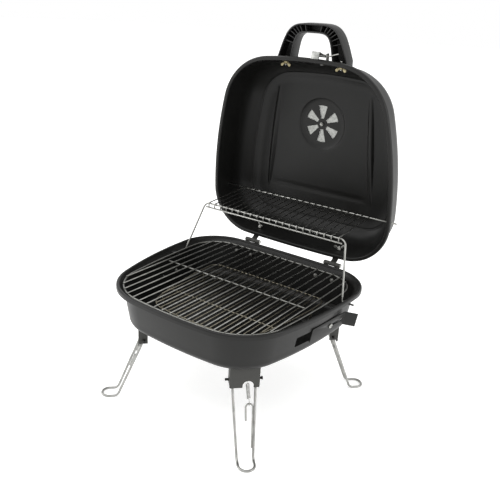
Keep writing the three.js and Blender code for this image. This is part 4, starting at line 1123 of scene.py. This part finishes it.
def make_grates():
    make_grate("cooking_grate_wires", "cooking_grate_body", "cooking_grate", grate_chrome,
               (grate_inset, grate_front_inset), -grate_drop, grate_pitch, grate_wire,
               grate_bar_y, grate_bar_end)
    floor = -bowl_depth + sheet + gap + frame_wire
    feet = []
    for sx in (-1, 1):
        for sy in (-1, 1):
            y = sy * coal_foot_y
            x = sx * half_width(coal_inset, y)
            low = (x * coal_foot_share, y * coal_foot_share, floor)
            feet.append(wire("foot", [(x, y, -coal_drop), low], frame_wire))
    make_grate("charcoal_grate_wires", "charcoal_grate_body", "charcoal_grate", coal_chrome,
               (coal_inset, coal_inset), -coal_drop, coal_pitch, coal_wire, coal_bar_y, coal_bar_end, feet)


# Brace and warming rack

def darken_tips(piece, from_x):
    """Makes the ends of a wire that stick out sideways dark: they take its second material, the black coat.
    """
    for face in piece.data.polygons:
        if abs(face.center.x) > from_x:
            face.material_index = 1


def make_brace():
    wall_x = half_width(bowl_wall_inset(brace_foot_drop), brace_foot_y)
    foot_x = wall_x - sheet - brace_wire / 2 - brace_wall_room
    top = (brace_foot_y + brace_lean, -brace_foot_drop + brace_height)
    half = [(wall_x + brace_pivot_reach, brace_foot_y, -brace_foot_drop),
            (foot_x, brace_foot_y, -brace_foot_drop), (brace_top_half, *top)]
    route = half + [(-x, y, z) for x, y, z in reversed(half)]
    piece = wire("brace_wire", route, brace_wire, bends=brace_bends, sides=16)
    darken_tips(piece, wall_x + tip_bare)
    settled(piece, "brace_body", tipped_chrome, ["brace"], smooth=60)


def rack_point(x, run, rise):
    """A place on the rack: run forwards from its rear rod along the fold's long side, rise across it."""
    way = Vector((brace_foot_y - hinge_y, hinge_drop - brace_foot_drop)).normalized()
    rear = Vector((hinge_y + brace_lean, brace_height - hinge_drop))
    return (x, rear.x + way.x * run + way.y * rise, rear.y + way.y * run - way.x * rise)


def make_rack():
    length = Vector((brace_foot_y - hinge_y, hinge_drop - brace_foot_drop)).length
    turned_offset = Matrix.Rotation(lid_open, 2) @ Vector((brace_lean, brace_height))
    rod_y, rod_z = hinge_y + turned_offset.x, turned_offset.y - hinge_drop
    reach = half_width(lid_face_inset(rod_z), rod_y) + rack_rod_reach
    pieces = [wire("rack_rod", [rack_point(-reach, 0, 0), rack_point(reach, 0, 0)], rack_bar, sides=16)]
    places = wire_places(brace_top_half - rack_edge_room, rack_pitch)
    on_rod = (rack_bar + rack_wire) * weld_share
    over = brace_wire + gap + rack_wire
    lip_run = length + rack_lip_reach
    for x in places:
        route = [rack_point(x, -rack_overhang, on_rod), rack_point(x, lip_run, over),
                 rack_point(x, lip_run, -rack_lip_drop)]
        pieces.append(wire("rack_wire", route, rack_wire, bends=rack_lip_bend))
    half = places[-1] + rack_bar_overhang
    ends = [rack_point(s * half, lip_run, -rack_lip_drop) for s in (-1, 1)]
    pieces.append(wire("rack_bar", ends, rack_bar, sides=16))
    piece = joined("rack_wires", pieces)
    darken_tips(piece, reach - rack_rod_reach + tip_bare)
    settled(piece, "rack_body", tipped_chrome, ["warming_rack"], smooth=60)


# Fasteners, each modelled standing on the origin with its head up

def standing(point, along):
    """The place of a piece that stands at a point with its up along a direction."""
    z = Vector(along).normalized()
    x = (Vector((1, 0, 0)) - z * z.x).normalized()
    turn = Matrix((x, z.cross(x), z)).transposed().to_4x4()
    return Matrix.Translation(Vector(point)) @ turn


def bolt_model(head_radius, depth):
    """A pan-headed bolt with a cross recess; its shank runs down to a depth under the seat."""
    low, high = seat_gap, seat_gap + bolt_head_height
    shank = [(0, bolt_radius - shank_chamfer), (shank_chamfer, bolt_radius), (depth + low, bolt_radius)]
    foot = [(depth + low + rise, head_radius - inset) for rise, inset in bolt_head_foot]
    dome = [(depth + high - drop, head_radius - inset) for drop, inset in bolt_head_dome]
    piece = turned("bolt", [*shank, *foot, *dome], (0, 0, -depth), (0, 0, 1))
    sizes = ((recess_length, recess_width, recess_depth), (recess_width, recess_length, recess_depth))
    return combined(piece, [block("recess", size, (0, 0, high), 0) for size in sizes])


def nut_model(place=None):
    """A hexagon nut with chamfered corners, hanging down from the origin."""
    steps = ((0, nut_chamfer), (nut_chamfer, 0), (nut_height - nut_chamfer, 0), (nut_height, nut_chamfer))
    rings = [circle((0, 0, -drop), nut_radius - inset, (0, 0, 1), nut_sides) for drop, inset in steps]
    piece = loft("nut", rings)
    if place is not None:
        piece.data.transform(place)
    return piece


def wing_nut_model():
    """A stamped wing nut: a tapered hub and two rounded ears."""
    hub = turned("hub", wing_hub_profile, (0, 0, 0), (0, 0, 1))
    ears = []
    for s in (-1, 1):
        start, end = (s * turn + (0 if s > 0 else math.pi) for turn in wing_tip_turns)
        tip = arc((s * wing_tip_place[0], wing_tip_place[1]), wing_tip_radius, start, end, wing_tip_steps)
        before = [(s * x, z) for x, z in wing_before_tip]
        after = [(s * x, z) for x, z in wing_after_tip]
        ear = plate("ear", [*before, *tip, *after], wing_thickness, wing_edge)
        stand = Matrix.Rotation(quarter, 4, "X")
        ear.data.transform(Matrix.Translation((0, wing_thickness / 2, 0)) @ stand)
        ears.append(ear)
    return joined("wing_nut", [hub, *ears])


def two_headed(head_profile, head_height, shank_radius, shank_length):
    """The profile of a rivet: a head at each end of its shank."""
    whole = 2 * head_height + shank_length
    half = [*head_profile, (head_height + collar_step, shank_radius)]
    return half + [(whole - along, radius) for along, radius in reversed(half)]


def bowl_strap_y(drop):
    wall = front_and_rear(bowl_wall_inset(drop), hinge_spacing / 2 - bowl_strap_width / 2)[1]
    return wall + gap + strap_thickness / 2


def bowl_bolt_seat(x):
    return Vector((x, bowl_strap_y(bowl_bolt_drop) + strap_thickness / 2, -bowl_bolt_drop))


def lid_strap_y(rise):
    wall = front_and_rear(lid_face_inset(rise), hinge_spacing / 2 - lid_strap_width / 2)[1]
    return wall + gap + strap_thickness / 2


def lid_bolt_seat(x):
    return Vector((x, lid_strap_y(lid_bolt_rise) + strap_thickness / 2, lid_bolt_rise))


def handle_bolt_seat(x):
    return Vector((x, front_and_rear(lid_face_inset(handle_bolt_rise), abs(x))[0], handle_bolt_rise))


sides = (("left", -1), ("right", 1))


def make_hinge_fasteners():
    nut_depth = strap_thickness + strap_lift + sheet + seat_gap
    short = bolt_model(bolt_head_radius, nut_depth + nut_height + bolt_tail)
    short = joined("short_bolt", [short, nut_model(Matrix.Translation((0, 0, -nut_depth)))])
    long = bolt_model(bolt_head_radius, nut_depth + wing_hub + bolt_tail)
    wing = wing_nut_model()
    for side, s in sides:
        for k in (-1, 1):
            corner = "inner" if k * s < 0 else "outer"
            seat = bowl_bolt_seat(s * hinge_spacing / 2 + k * bowl_bolt_spacing / 2)
            name = f"bowl_hinge_bolt_{side}_{corner}"
            twin = copied(short, name + "_finished", standing(seat, bowl_rear_normal))
            settled(twin, "bowl_body", zinc, [name])
        seat = lid_bolt_seat(s * hinge_spacing / 2)
        twin = copied(long, f"lid_hinge_bolt_{side}_finished", standing(seat, lid_rear_normal))
        settled(twin, "lid_body", zinc, [f"lid_hinge_bolt_{side}"], lid_place)
        inner = standing(seat - lid_rear_normal * nut_depth, -lid_rear_normal)
        turn = Matrix.Rotation(wing_nut_turn * s, 4, "Z")
        twin = copied(wing, f"lid_hinge_wing_nut_{side}_finished", inner @ turn)
        settled(twin, "lid_body", zinc, [f"lid_hinge_wing_nut_{side}"], lid_place)
    handle_depth_in = handle_foot + seat_gap + sheet + seat_gap
    handle_bolt = bolt_model(bolt_head_radius, handle_depth_in + wing_hub + bolt_tail)
    for side, s in sides:
        wall = handle_bolt_seat(s * handle_bolt_x)
        seat = wall + lid_front_normal * (handle_foot + seat_gap)
        twin = copied(handle_bolt, f"handle_bolt_{side}_finished", standing(seat, lid_front_normal))
        settled(twin, "lid_body", zinc, [f"handle_bolt_{side}"], lid_place)
        inner = standing(wall - lid_front_normal * (sheet + seat_gap), -lid_front_normal)
        twin = copied(wing, f"handle_wing_nut_{side}_finished", inner)
        settled(twin, "lid_body", brass, [f"handle_wing_nut_{side}"], lid_place)
    for model in (short, long, wing, handle_bolt):
        bpy.data.objects.remove(model, do_unlink=True)


# Hinges

def on_hinge(name, x, width, radius):
    return rod(name, (x - width / 2, hinge_y, -hinge_drop), (x + width / 2, hinge_y, -hinge_drop), radius)


def make_strap(name, body, node, place, profile, width, x, leaf_places, leaf_width, route):
    """A bracket bent from strap: its leaves end in knuckles round the hinge pin."""
    strap = bent_strip("strap", profile, strap_thickness, width, x, 0)
    leaves = []
    for leaf_x in leaf_places:
        leaves.append(bent_strip("leaf", route, strap_thickness, leaf_width, leaf_x, 0))
        leaves.append(on_hinge("knuckle", leaf_x, leaf_width, knuckle_radius))
    combined(strap, leaves, "UNION")
    combined(strap, [on_hinge("bore", x, hinge_bore_length, hinge_pin_radius + gap)])
    bevelled(strap, strap_edge, 2, 50)
    strap.name = name
    settled(strap, body, hinge_steel, [node], place)


def make_hinges():
    bottom = bowl_strap_top + bowl_strap_height
    top = lid_strap_bottom + lid_strap_height
    bowl_profile = [(bowl_strap_y(bottom), -bottom), (bowl_strap_y(bowl_strap_top), -bowl_strap_top)]
    lid_profile = [(lid_strap_y(top), top), (lid_strap_y(lid_strap_bottom), lid_strap_bottom)]
    arm_route = [(bowl_profile[1][0], bowl_profile[1][1] - strap_overlap),
                 (hinge_y - hinge_elbow[0], -hinge_drop - hinge_elbow[1]),
                 (hinge_y - hinge_arm_end[0], -hinge_drop - hinge_arm_end[1])]
    tongue_route = [(lid_profile[1][0], lid_profile[1][1] + strap_overlap),
                    (hinge_y - tongue_elbow[0], -hinge_drop + tongue_elbow[1]),
                    (hinge_y - tongue_end[0], -hinge_drop + tongue_end[1])]
    half = hinge_arm_offset + hinge_arm_width / 2 + gap
    for side, s in sides:
        x = s * hinge_spacing / 2
        arms = (x - hinge_arm_offset, x + hinge_arm_offset)
        make_strap(f"bowl_hinge_strap_{side}", "bowl_body", f"bowl_hinge_bracket_{side}", bowl_place,
                   bowl_profile, bowl_strap_width, x, arms, hinge_arm_width, arm_route)
        make_strap(f"lid_hinge_strap_{side}", "lid_body", f"lid_hinge_bracket_{side}", lid_place,
                   lid_profile, lid_strap_width, x, (x,), hinge_tongue_width, tongue_route)
        profile = two_headed(hinge_rivet_profile, hinge_rivet_head, hinge_pin_radius, 2 * half)
        start = (x - half - hinge_rivet_head, hinge_y, -hinge_drop)
        pin = turned(f"hinge_rivet_{side}", profile, start, (1, 0, 0))
        settled(pin, "bowl_body", zinc, [f"hinge_pin_{side}"])


# Side vents

def slider_place():
    cx, cy = arc_centre(2)
    radius = side_radius - bowl_wall_inset(slot_drop)
    onward = Vector((math.cos(slider_heading), math.sin(slider_heading), 0))
    out = Vector((math.sin(slider_heading), -math.cos(slider_heading), 0)) * math.cos(wall_tilt)
    normal = Vector((out.x, out.y, -math.sin(wall_tilt)))
    across = onward.cross(normal)
    turn = Matrix((across, onward, normal)).transposed().to_4x4()
    point = (cx + radius * math.sin(slider_turn), cy - radius * math.cos(slider_turn), -slot_drop)
    return bowl_place @ Matrix.Translation(point) @ turn


def make_slider(side, s, shift):
    height = gap + slider_thickness / 2
    start = slider_start + shift
    end = start + slider_length
    bend = [(end + onward, height + lift) for onward, lift in slider_bend]
    tip = (end + slider_tab_reach * math.cos(slider_tab_turn),
           height + slider_tab_reach * math.sin(slider_tab_turn))
    route = [(start, height), *bend, tip]
    strip = bent_strip(f"slider_plate_{side}", route, slider_thickness, slider_height, 0, 0)
    ends = [slider_screw_place + shift, slider_screw_place + shift + slider_travel]
    radius = bolt_radius + hole_room
    around = arc((0, ends[1]), radius, 0, math.pi, slider_slot_steps)
    around += arc((0, ends[0]), radius, math.pi, 2 * math.pi, slider_slot_steps)
    slot = loft("slot", [[Vector((x, y, z)) for x, y in around] for z in (-slider_cut, slider_cut)])
    combined(strip, [slot])
    bevelled(strip, slider_edge, 2, 40)
    place = slider_place() if s > 0 else bowl_place @ left_of @ bowl_place.inverted() @ slider_place()
    settled(strip, f"slider_{side}_body", enamel, [f"vent_slider_{side}"], place)
    nut_depth = slider_thickness + gap + sheet + slider_nut_room
    screw = bolt_model(screw_head_radius, nut_depth + nut_height + slider_bolt_tail)
    nut = nut_model(Matrix.Translation((0, 0, -nut_depth)))
    pair = joined(f"slider_screw_{side}_finished", [screw, nut])
    pair.data.transform(Matrix.Translation((0, slider_screw_place, gap + slider_thickness)))
    settled(pair, "bowl_body", zinc, [f"slider_screw_{side}"], place)


# Vent damper

def make_damper():
    z = lid_height + field_rise + gap
    middle = Vector((0, vent_y, z))
    profile = [(0, damper_radius - damper_edge), (damper_edge, damper_radius),
               (damper_thickness - damper_edge, damper_radius),
               (damper_thickness, damper_radius - damper_edge)]
    disc = turned("damper_disc", profile, middle, (0, 0, 1), damper_sides)
    width, height, reach = damper_tab
    edge = vent_y - damper_radius
    level = z + damper_thickness / 2
    bend = [(edge - reach + run, level + rise) for run, rise in damper_tab_bend]
    route = [(edge + reach, level), *bend, (edge - reach, level + height)]
    tab = bent_strip("damper_tab", route, damper_thickness, width, 0, 0)
    combined(disc, [tab], "UNION")
    combined(disc, wedge_tools(quarter + wedge_angle, z - damper_cut[0], z + damper_cut[1]))
    bevelled(disc, damper_bevel, 2, 50)
    settled(disc, "damper_body", zinc_plate, ["vent_damper"], lid_place)
    seat = Vector((0, vent_y, z + damper_thickness))
    nut_depth = damper_thickness + gap + sheet + seat_gap
    screw = bolt_model(screw_head_radius, nut_depth + nut_height + bolt_tail)
    screw.name = "damper_screw_finished"
    settled(screw, "lid_body", zinc, ["damper_screw"], lid_place @ Matrix.Translation(seat))
    nut = nut_model()
    nut.name = "damper_nut_finished"
    under = Matrix.Translation(seat - Vector((0, 0, nut_depth)))
    settled(nut, "lid_body", zinc, ["damper_nut"], lid_place @ under)


# Carry handle

def bow(half, height, power, taper, turn):
    across = math.cos(turn)
    rise = abs(math.sin(turn)) ** (2 / power)
    x = half * (1 - taper * rise) * math.copysign(abs(across) ** (2 / power), across)
    return Vector((x, height * rise))


def handle_edges(turn):
    outer = bow(handle_half_width, handle_height, handle_power, handle_taper, turn)
    return outer, bow(grip_half_width, grip_height, grip_power, grip_taper, turn)


def channel_ring(outer, inner):
    """The section of the channel between two edge points: closed side at z 0, open side at the depth."""
    way = (inner - outer).normalized() * handle_wall
    deep = [(outer, 0), (outer, handle_depth), (outer + way, handle_depth), (outer + way, handle_wall),
            (inner - way, handle_wall), (inner - way, handle_depth), (inner, handle_depth), (inner, 0)]
    return [Vector((point.x, point.y, z)) for point, z in deep]


def trimmed_to_lid(piece, place, edge):
    """Places a part of the handle, cuts it back to the lid's outside and breaks its edges."""
    piece.data.transform(place)
    reach = sheet / 2 + gap
    rings = [outline_ring(lid_foot_inset - reach, lid_foot_rise)]
    rings += [outline_ring(inset, z) for inset, z in lid_fillet_arc(reach, lid_block_steps)]
    return bevelled(combined(piece, [loft("lid_block", rings)]), edge, 2, 40)


def make_handle():
    turns = [math.pi * k / handle_steps for k in range(handle_steps + 1)]
    rings = [channel_ring(*handle_edges(turn)) for turn in turns]
    roots = []
    for s in (1, -1):
        roots.append(channel_ring(Vector((s * handle_half_width, -handle_root)),
                                  Vector((s * grip_half_width, -handle_root))))
    base = Matrix.Translation((0, handle_base_y, handle_rise + handle_depth))
    flip = base @ Matrix.Rotation(math.pi, 4, "X")
    arch = loft("handle_grip_arch", [roots[0], *rings, roots[1]])
    pieces = [trimmed_to_lid(arch, flip, handle_edge)]
    for k in range(handle_rib_count):
        outer, inner = handle_edges(math.pi * (k + 1) / (handle_rib_count + 1))
        way = outer - inner
        centre = (outer + inner) / 2
        height = handle_depth - handle_rib_drop - handle_wall + handle_rib_sink
        size = (way.length - handle_wall, handle_rib, height)
        spot = Matrix.Translation((centre.x, centre.y, handle_wall - handle_rib_sink + height / 2))
        turn = Matrix.Rotation(math.atan2(way.y, way.x), 4, "Z")
        pieces.append(block("rib", size, (0, 0, 0), handle_rib_edge, flip @ spot @ turn))
    foot_y = handle_base_y - handle_bolt_seat(handle_bolt_x).y
    for s in (-1, 1):
        width = handle_half_width - grip_half_width - handle_wall
        size = (width, foot_y + handle_foot + handle_root, handle_depth - handle_foot_recess)
        middle_x = s * (handle_half_width + grip_half_width) / 2
        centre = (middle_x, size[1] / 2 - handle_root, size[2] / 2 + handle_foot_set)
        pieces.append(trimmed_to_lid(block("foot", size, centre, 0), flip, handle_foot_edge))
    settled(joined("handle_grip_arch", pieces), "lid_body", plastic, ["carry_handle"], lid_place, smooth=35)


# Latch

def make_latch():
    wall_y = front_and_rear(lid_face_inset(latch_pin_rise), latch_x - latch_ear_spacing / 2)[0]
    back_y = wall_y - gap - latch_thickness / 2 - latch_back_room
    ear_y = latch_pin_y - latch_ear_height / 2
    size = (latch_ear_spacing + latch_thickness, latch_thickness, latch_ear_height)
    back = block("latch_back", size, (latch_x, back_y, latch_pin_rise), 0)
    ears = []
    for k in (-1, 1):
        centre = (latch_x + k * latch_ear_spacing / 2, (back_y + ear_y) / 2, latch_pin_rise)
        ears.append(block("ear", (latch_thickness, back_y - ear_y, latch_ear_height), centre, 0))
    combined(back, ears, "UNION")
    bevelled(back, latch_edge, 2)
    inner_y = wall_y + latch_rivet_depth
    profile = [*latch_rivet_head, (latch_rivet_head[-1][0] + collar_step, latch_rivet_radius),
               (inner_y - back_y + latch_rivet_tail, latch_rivet_radius)]
    rivet = turned("latch_rivet", profile, (latch_x, inner_y, latch_pin_rise), (0, -1, 0))
    piece = joined("latch_bracket_folded", [back, rivet])
    settled(piece, "lid_body", zinc_plate, ["latch_bracket"], lid_place)
    bend = [(out, rise - latch_drop) for out, rise in latch_foot_bend]
    route = [*latch_neck, *bend, (latch_hook_reach, -latch_drop)]
    hook = bent_strip("latch_hook_plate", route, latch_thickness, latch_plate_width, 0, latch_edge)
    half = latch_plate_width / 2
    barrel = rod("barrel", (-half, 0, 0), (half, 0, 0), latch_barrel_radius)
    reach = half + latch_bore_overrun
    combined(barrel, [rod("bore", (-reach, 0, 0), (reach, 0, 0), latch_pin_radius + gap)])
    piece = joined("latch_hook_plate", [hook, barrel])
    settled(piece, "latch_body", zinc_plate, ["latch_hook"], latch_place)
    end = latch_ear_spacing / 2 + latch_pin_overhang
    route = [(-end, 0, 0), (end, 0, 0), (end + latch_lever_reach, -latch_lever_drop, 0)]
    lever = wire("latch_lever_wire", route, latch_pin_radius, bends=latch_pin_overhang / 2)
    settled(lever, "latch_body", zinc, ["latch_wire"], latch_place)


# Legs

def leg_point(x, run, lift=0.0):
    s, c = math.sin(leg_splay), math.cos(leg_splay)
    return Vector((x, -run * s - lift * c, -run * c + lift * s))


def leg_half(run):
    return leg_top_half + (leg_bottom_half - leg_top_half) * run / leg_length


def hook_arm_x(run):
    return leg_half(run) - leg_wire - hook_wire + hook_weld


hook_crown_x = hook_arm_x(hook_crown_drop + hook_bend) - hook_bend


def leg_model():
    ankle = leg_point(leg_bottom_half, leg_length)
    toe = Vector((leg_bottom_half, ankle.y - foot_length, ankle.z))
    half = [leg_point(leg_half(leg_start_run), leg_start_run), ankle, toe]
    route = half + [Vector((-p.x, p.y, p.z)) for p in reversed(half)]
    loop = wire("leg", route, leg_wire, bends=[ankle_bend, foot_bend, foot_bend, ankle_bend], sides=16)
    eyes = []
    for s in (-1, 1):
        deselect()
        middle = (leg_eye_radius + leg_pin_radius + gap) / 2
        thick = (leg_eye_radius - leg_pin_radius - gap) / 2
        segments = {"major_segments": 28, "minor_segments": 12}
        bpy.ops.mesh.primitive_torus_add(major_radius=middle, minor_radius=thick, **segments)
        eye = added("eye")
        stretch = Matrix.Diagonal((1, 1, leg_wire / thick, 1))
        spot = Matrix.Translation((s * leg_top_half, 0, 0))
        eye.data.transform(spot @ Matrix.Rotation(quarter, 4, "Y") @ stretch)
        eyes.append(eye)
    bend_run = hook_crown_drop + hook_bend
    crown = []
    for k in range(crown_steps + 1):
        turn = math.pi * (1 - k / crown_steps)
        x = hook_crown_x + hook_bend * math.cos(turn)
        crown.append(leg_point(x, bend_run - hook_bend * math.sin(turn)))
    long_run = bend_run + hook_long_arm
    route = [leg_point(hook_crown_x - hook_bend, bend_run + hook_short_arm), *crown,
             leg_point(hook_arm_x(long_run), long_run)]
    hook = wire("hook", route, hook_wire)
    return joined("leg", [loop, *eyes, hook])


def spring_model():
    """A hook round the pin, close curls and a hook round the crown."""
    pin_hook = leg_pin_radius + spring_wire + spring_hook_room
    crown_hook = hook_wire + spring_wire + spring_hook_room
    start = (hook_crown_drop - spring_curls * spring_pitch) / 2

    def slant(run):
        return spring_top_x + (hook_crown_x - spring_top_x) * run / hook_crown_drop

    def hook(at, run, radius, way):
        steps = range(-spring_hook_steps, spring_hook_steps + 1)
        turns = [way * k * quarter / spring_hook_steps for k in steps]
        return [leg_point(at, run - way * radius * math.cos(turn), radius * math.sin(turn)) for turn in turns]

    curls = []
    for k in range(spring_curls * spring_steps + 1):
        turn = 2 * math.pi * k / spring_steps
        run = start + spring_pitch * k / spring_steps
        x = slant(run) + spring_radius * math.sin(turn)
        curls.append(leg_point(x, run, spring_radius * math.cos(turn)))
    route = [leg_point(spring_top_x, spring_hook_tail, -pin_hook), *hook(spring_top_x, 0, pin_hook, 1),
             *curls, *hook(hook_crown_x, hook_crown_drop, crown_hook, -1),
             leg_point(hook_crown_x, hook_crown_drop - spring_hook_tail, -crown_hook)]
    return wire("spring", route, spring_wire, sides=8)


def bracket_model():
    """A folded bracket: a front plate with a round notch, two ears and a web that is riveted up."""
    top = leg_pivot_drop - gap
    bottom = top - bracket_height
    half = bracket_width / 2
    notch = [(notch_x - notch_radius, bottom),
             *arc((notch_x, bottom + notch_depth - notch_radius), notch_radius, math.pi, 0, notch_steps),
             (notch_x + notch_radius, bottom)]
    corner_x, corner_z = half - bracket_corner, bottom + bracket_corner
    lower_left = arc((-corner_x, corner_z), bracket_corner, 2 * quarter, 3 * quarter, bracket_corner_steps)
    lower_right = arc((corner_x, corner_z), bracket_corner, 3 * quarter, 4 * quarter, bracket_corner_steps)
    face = [*lower_left, *notch, *lower_right, (half, top), (-half, top)]
    front = plate("front", face, bracket_sheet, 0)
    outer_y = -bracket_depth - bracket_sheet / 2
    spot = Matrix.Translation((0, outer_y + bracket_sheet, 0))
    front.data.transform(spot @ Matrix.Rotation(quarter, 4, "X"))
    ear_depth = bracket_ear_reach - outer_y
    parts = []
    for s in (-1, 1):
        size = (bracket_sheet, ear_depth, top + bracket_ear_reach)
        centre = (s * (half - bracket_sheet / 2), outer_y + ear_depth / 2, top - size[2] / 2)
        parts.append(block("ear", size, centre, 0))
    web_depth = bracket_web_reach - outer_y
    parts.append(block("web", (bracket_width, web_depth, bracket_sheet),
                       (0, outer_y + web_depth / 2, top - bracket_sheet / 2), 0))
    combined(front, parts, "UNION")
    reach = bracket_bore_length / 2
    combined(front, [rod("bore", (-reach, 0, 0), (reach, 0, 0), leg_pin_radius + gap)])
    return bevelled(front, bracket_edge, 2, 50)


def rivet_model():
    under = leg_pivot_drop - 2 * gap - bracket_sheet
    over = leg_pivot_drop + sheet + gap
    profile = two_headed(rivet_head_profile, rivet_head, rivet_radius, over - under)
    return turned("rivet", profile, (0, rivet_inset, under - rivet_head), (0, 0, 1))


def pin_model():
    head = [(leg_pin_length - back, radius) for back, radius in leg_pin_head]
    return turned("pin", [*leg_pin_tip, *head], (-leg_pin_length / 2, 0, 0), (1, 0, 0))


def leg_places():
    front_x, front_y = arc_centre(1)
    rear_x, rear_y = arc_centre(3)
    front = (front_corner_radius - bracket_inset) / math.sqrt(2)
    rear = (rear_corner_radius - bracket_inset) / math.sqrt(2)
    return [("front_right", front_x + front, front_y - front, 1, -1),
            ("front_left", -front_x - front, front_y - front, -1, -1),
            ("rear_right", rear_x + rear, rear_y + rear, 1, 1),
            ("rear_left", -rear_x - rear, rear_y + rear, -1, 1)]


def make_legs():
    models = {
        "leg_bracket": (bracket_model(), "bowl_body", black_steel),
        "bracket_rivet": (rivet_model(), "bowl_body", zinc),
        "leg_pin": (pin_model(), "bowl_body", black_steel),
        "leg": (leg_model(), "leg_{}_body", plated_leg),
        "leg_spring": (spring_model(), "leg_{}_body", zinc),
    }
    for corner, x, y, sx, sy in leg_places():
        place = Matrix.Translation((x, y, -bowl_depth - leg_pivot_drop))
        place = bowl_place @ place @ Matrix.Rotation(math.atan2(sx, -sy), 4, "Z")
        for node, (model, body, finish) in models.items():
            twin = copied(model, f"{node}_{corner}_finished")
            settled(twin, body.format(corner), finish, [f"{node}_{corner}"], place, smooth=60)
    for model, _, _ in models.values():
        bpy.data.objects.remove(model, do_unlink=True)


# Studio

def make_studio():
    deselect()
    bpy.ops.mesh.primitive_plane_add(size=40)
    floor = added("studio_light_table")
    floor.data.materials.append(studio_floor("opal_acrylic_table"))
    world = bpy.data.worlds.new("soft_white_surround")
    bpy.context.scene.world = world
    world.use_nodes = True
    background = world.node_tree.nodes["Background"]
    background.inputs["Color"].default_value = (1.0, 1.0, 1.0, 1.0)
    background.inputs["Strength"].default_value = 1.0
    lamps = [
        ("overhead_softbox", (-0.2, -0.6, 2.2), 1.6, 14),
        ("left_softbox", (-1.8, -1.2, 1.2), 1.2, 16),
        ("right_strip", (1.8, 0.3, 1.0), 0.9, 8),
    ]
    for name, place, size, power in lamps:
        data = bpy.data.lights.new(name, "AREA")
        data.shape = "SQUARE"
        data.size = size
        data.energy = power
        lamp = bpy.data.objects.new(name, data)
        bpy.context.collection.objects.link(lamp)
        lamp.location = place
        aim = Vector((0, 0, 0.28)) - Vector(place)
        lamp.rotation_euler = aim.to_track_quat("-Z", "Y").to_euler()


def make_camera():
    """The photograph's viewpoint, measured about the middle of the rim in millimetres and degrees."""
    azimuth, elevation, roll = (math.radians(value) for value in (34.260, 21.177, 3.353))
    eye = Vector((544.1, -756.1, 414.9))
    focal_pixels = 607.70
    picture_pixels = 500
    sensor = 36
    back = Vector((math.sin(azimuth) * math.cos(elevation), -math.cos(azimuth) * math.cos(elevation),
                   math.sin(elevation)))
    level = Vector((math.cos(azimuth), math.sin(azimuth), 0))
    upright = back.cross(level)
    right = math.cos(roll) * level + math.sin(roll) * upright
    up = math.cos(roll) * upright - math.sin(roll) * level
    data = bpy.data.cameras.new("photograph_camera")
    data.sensor_width = sensor
    data.lens = focal_pixels / picture_pixels * sensor
    camera = bpy.data.objects.new("photograph_camera", data)
    bpy.context.collection.objects.link(camera)
    turn = Matrix((right, up, back)).transposed().to_4x4()
    camera.matrix_world = Matrix.Translation(rim_middle + eye * mm) @ turn
    bpy.context.scene.camera = camera


make_bowl()
make_lid()
make_grates()
make_brace()
make_rack()
make_hinges()
make_hinge_fasteners()
make_slider("right", 1, 0)
make_slider("left", -1, left_slider_shift)
make_damper()
make_handle()
make_latch()
make_legs()
make_studio()
make_camera()
bpy.context.scene.view_settings.view_transform = "Standard"
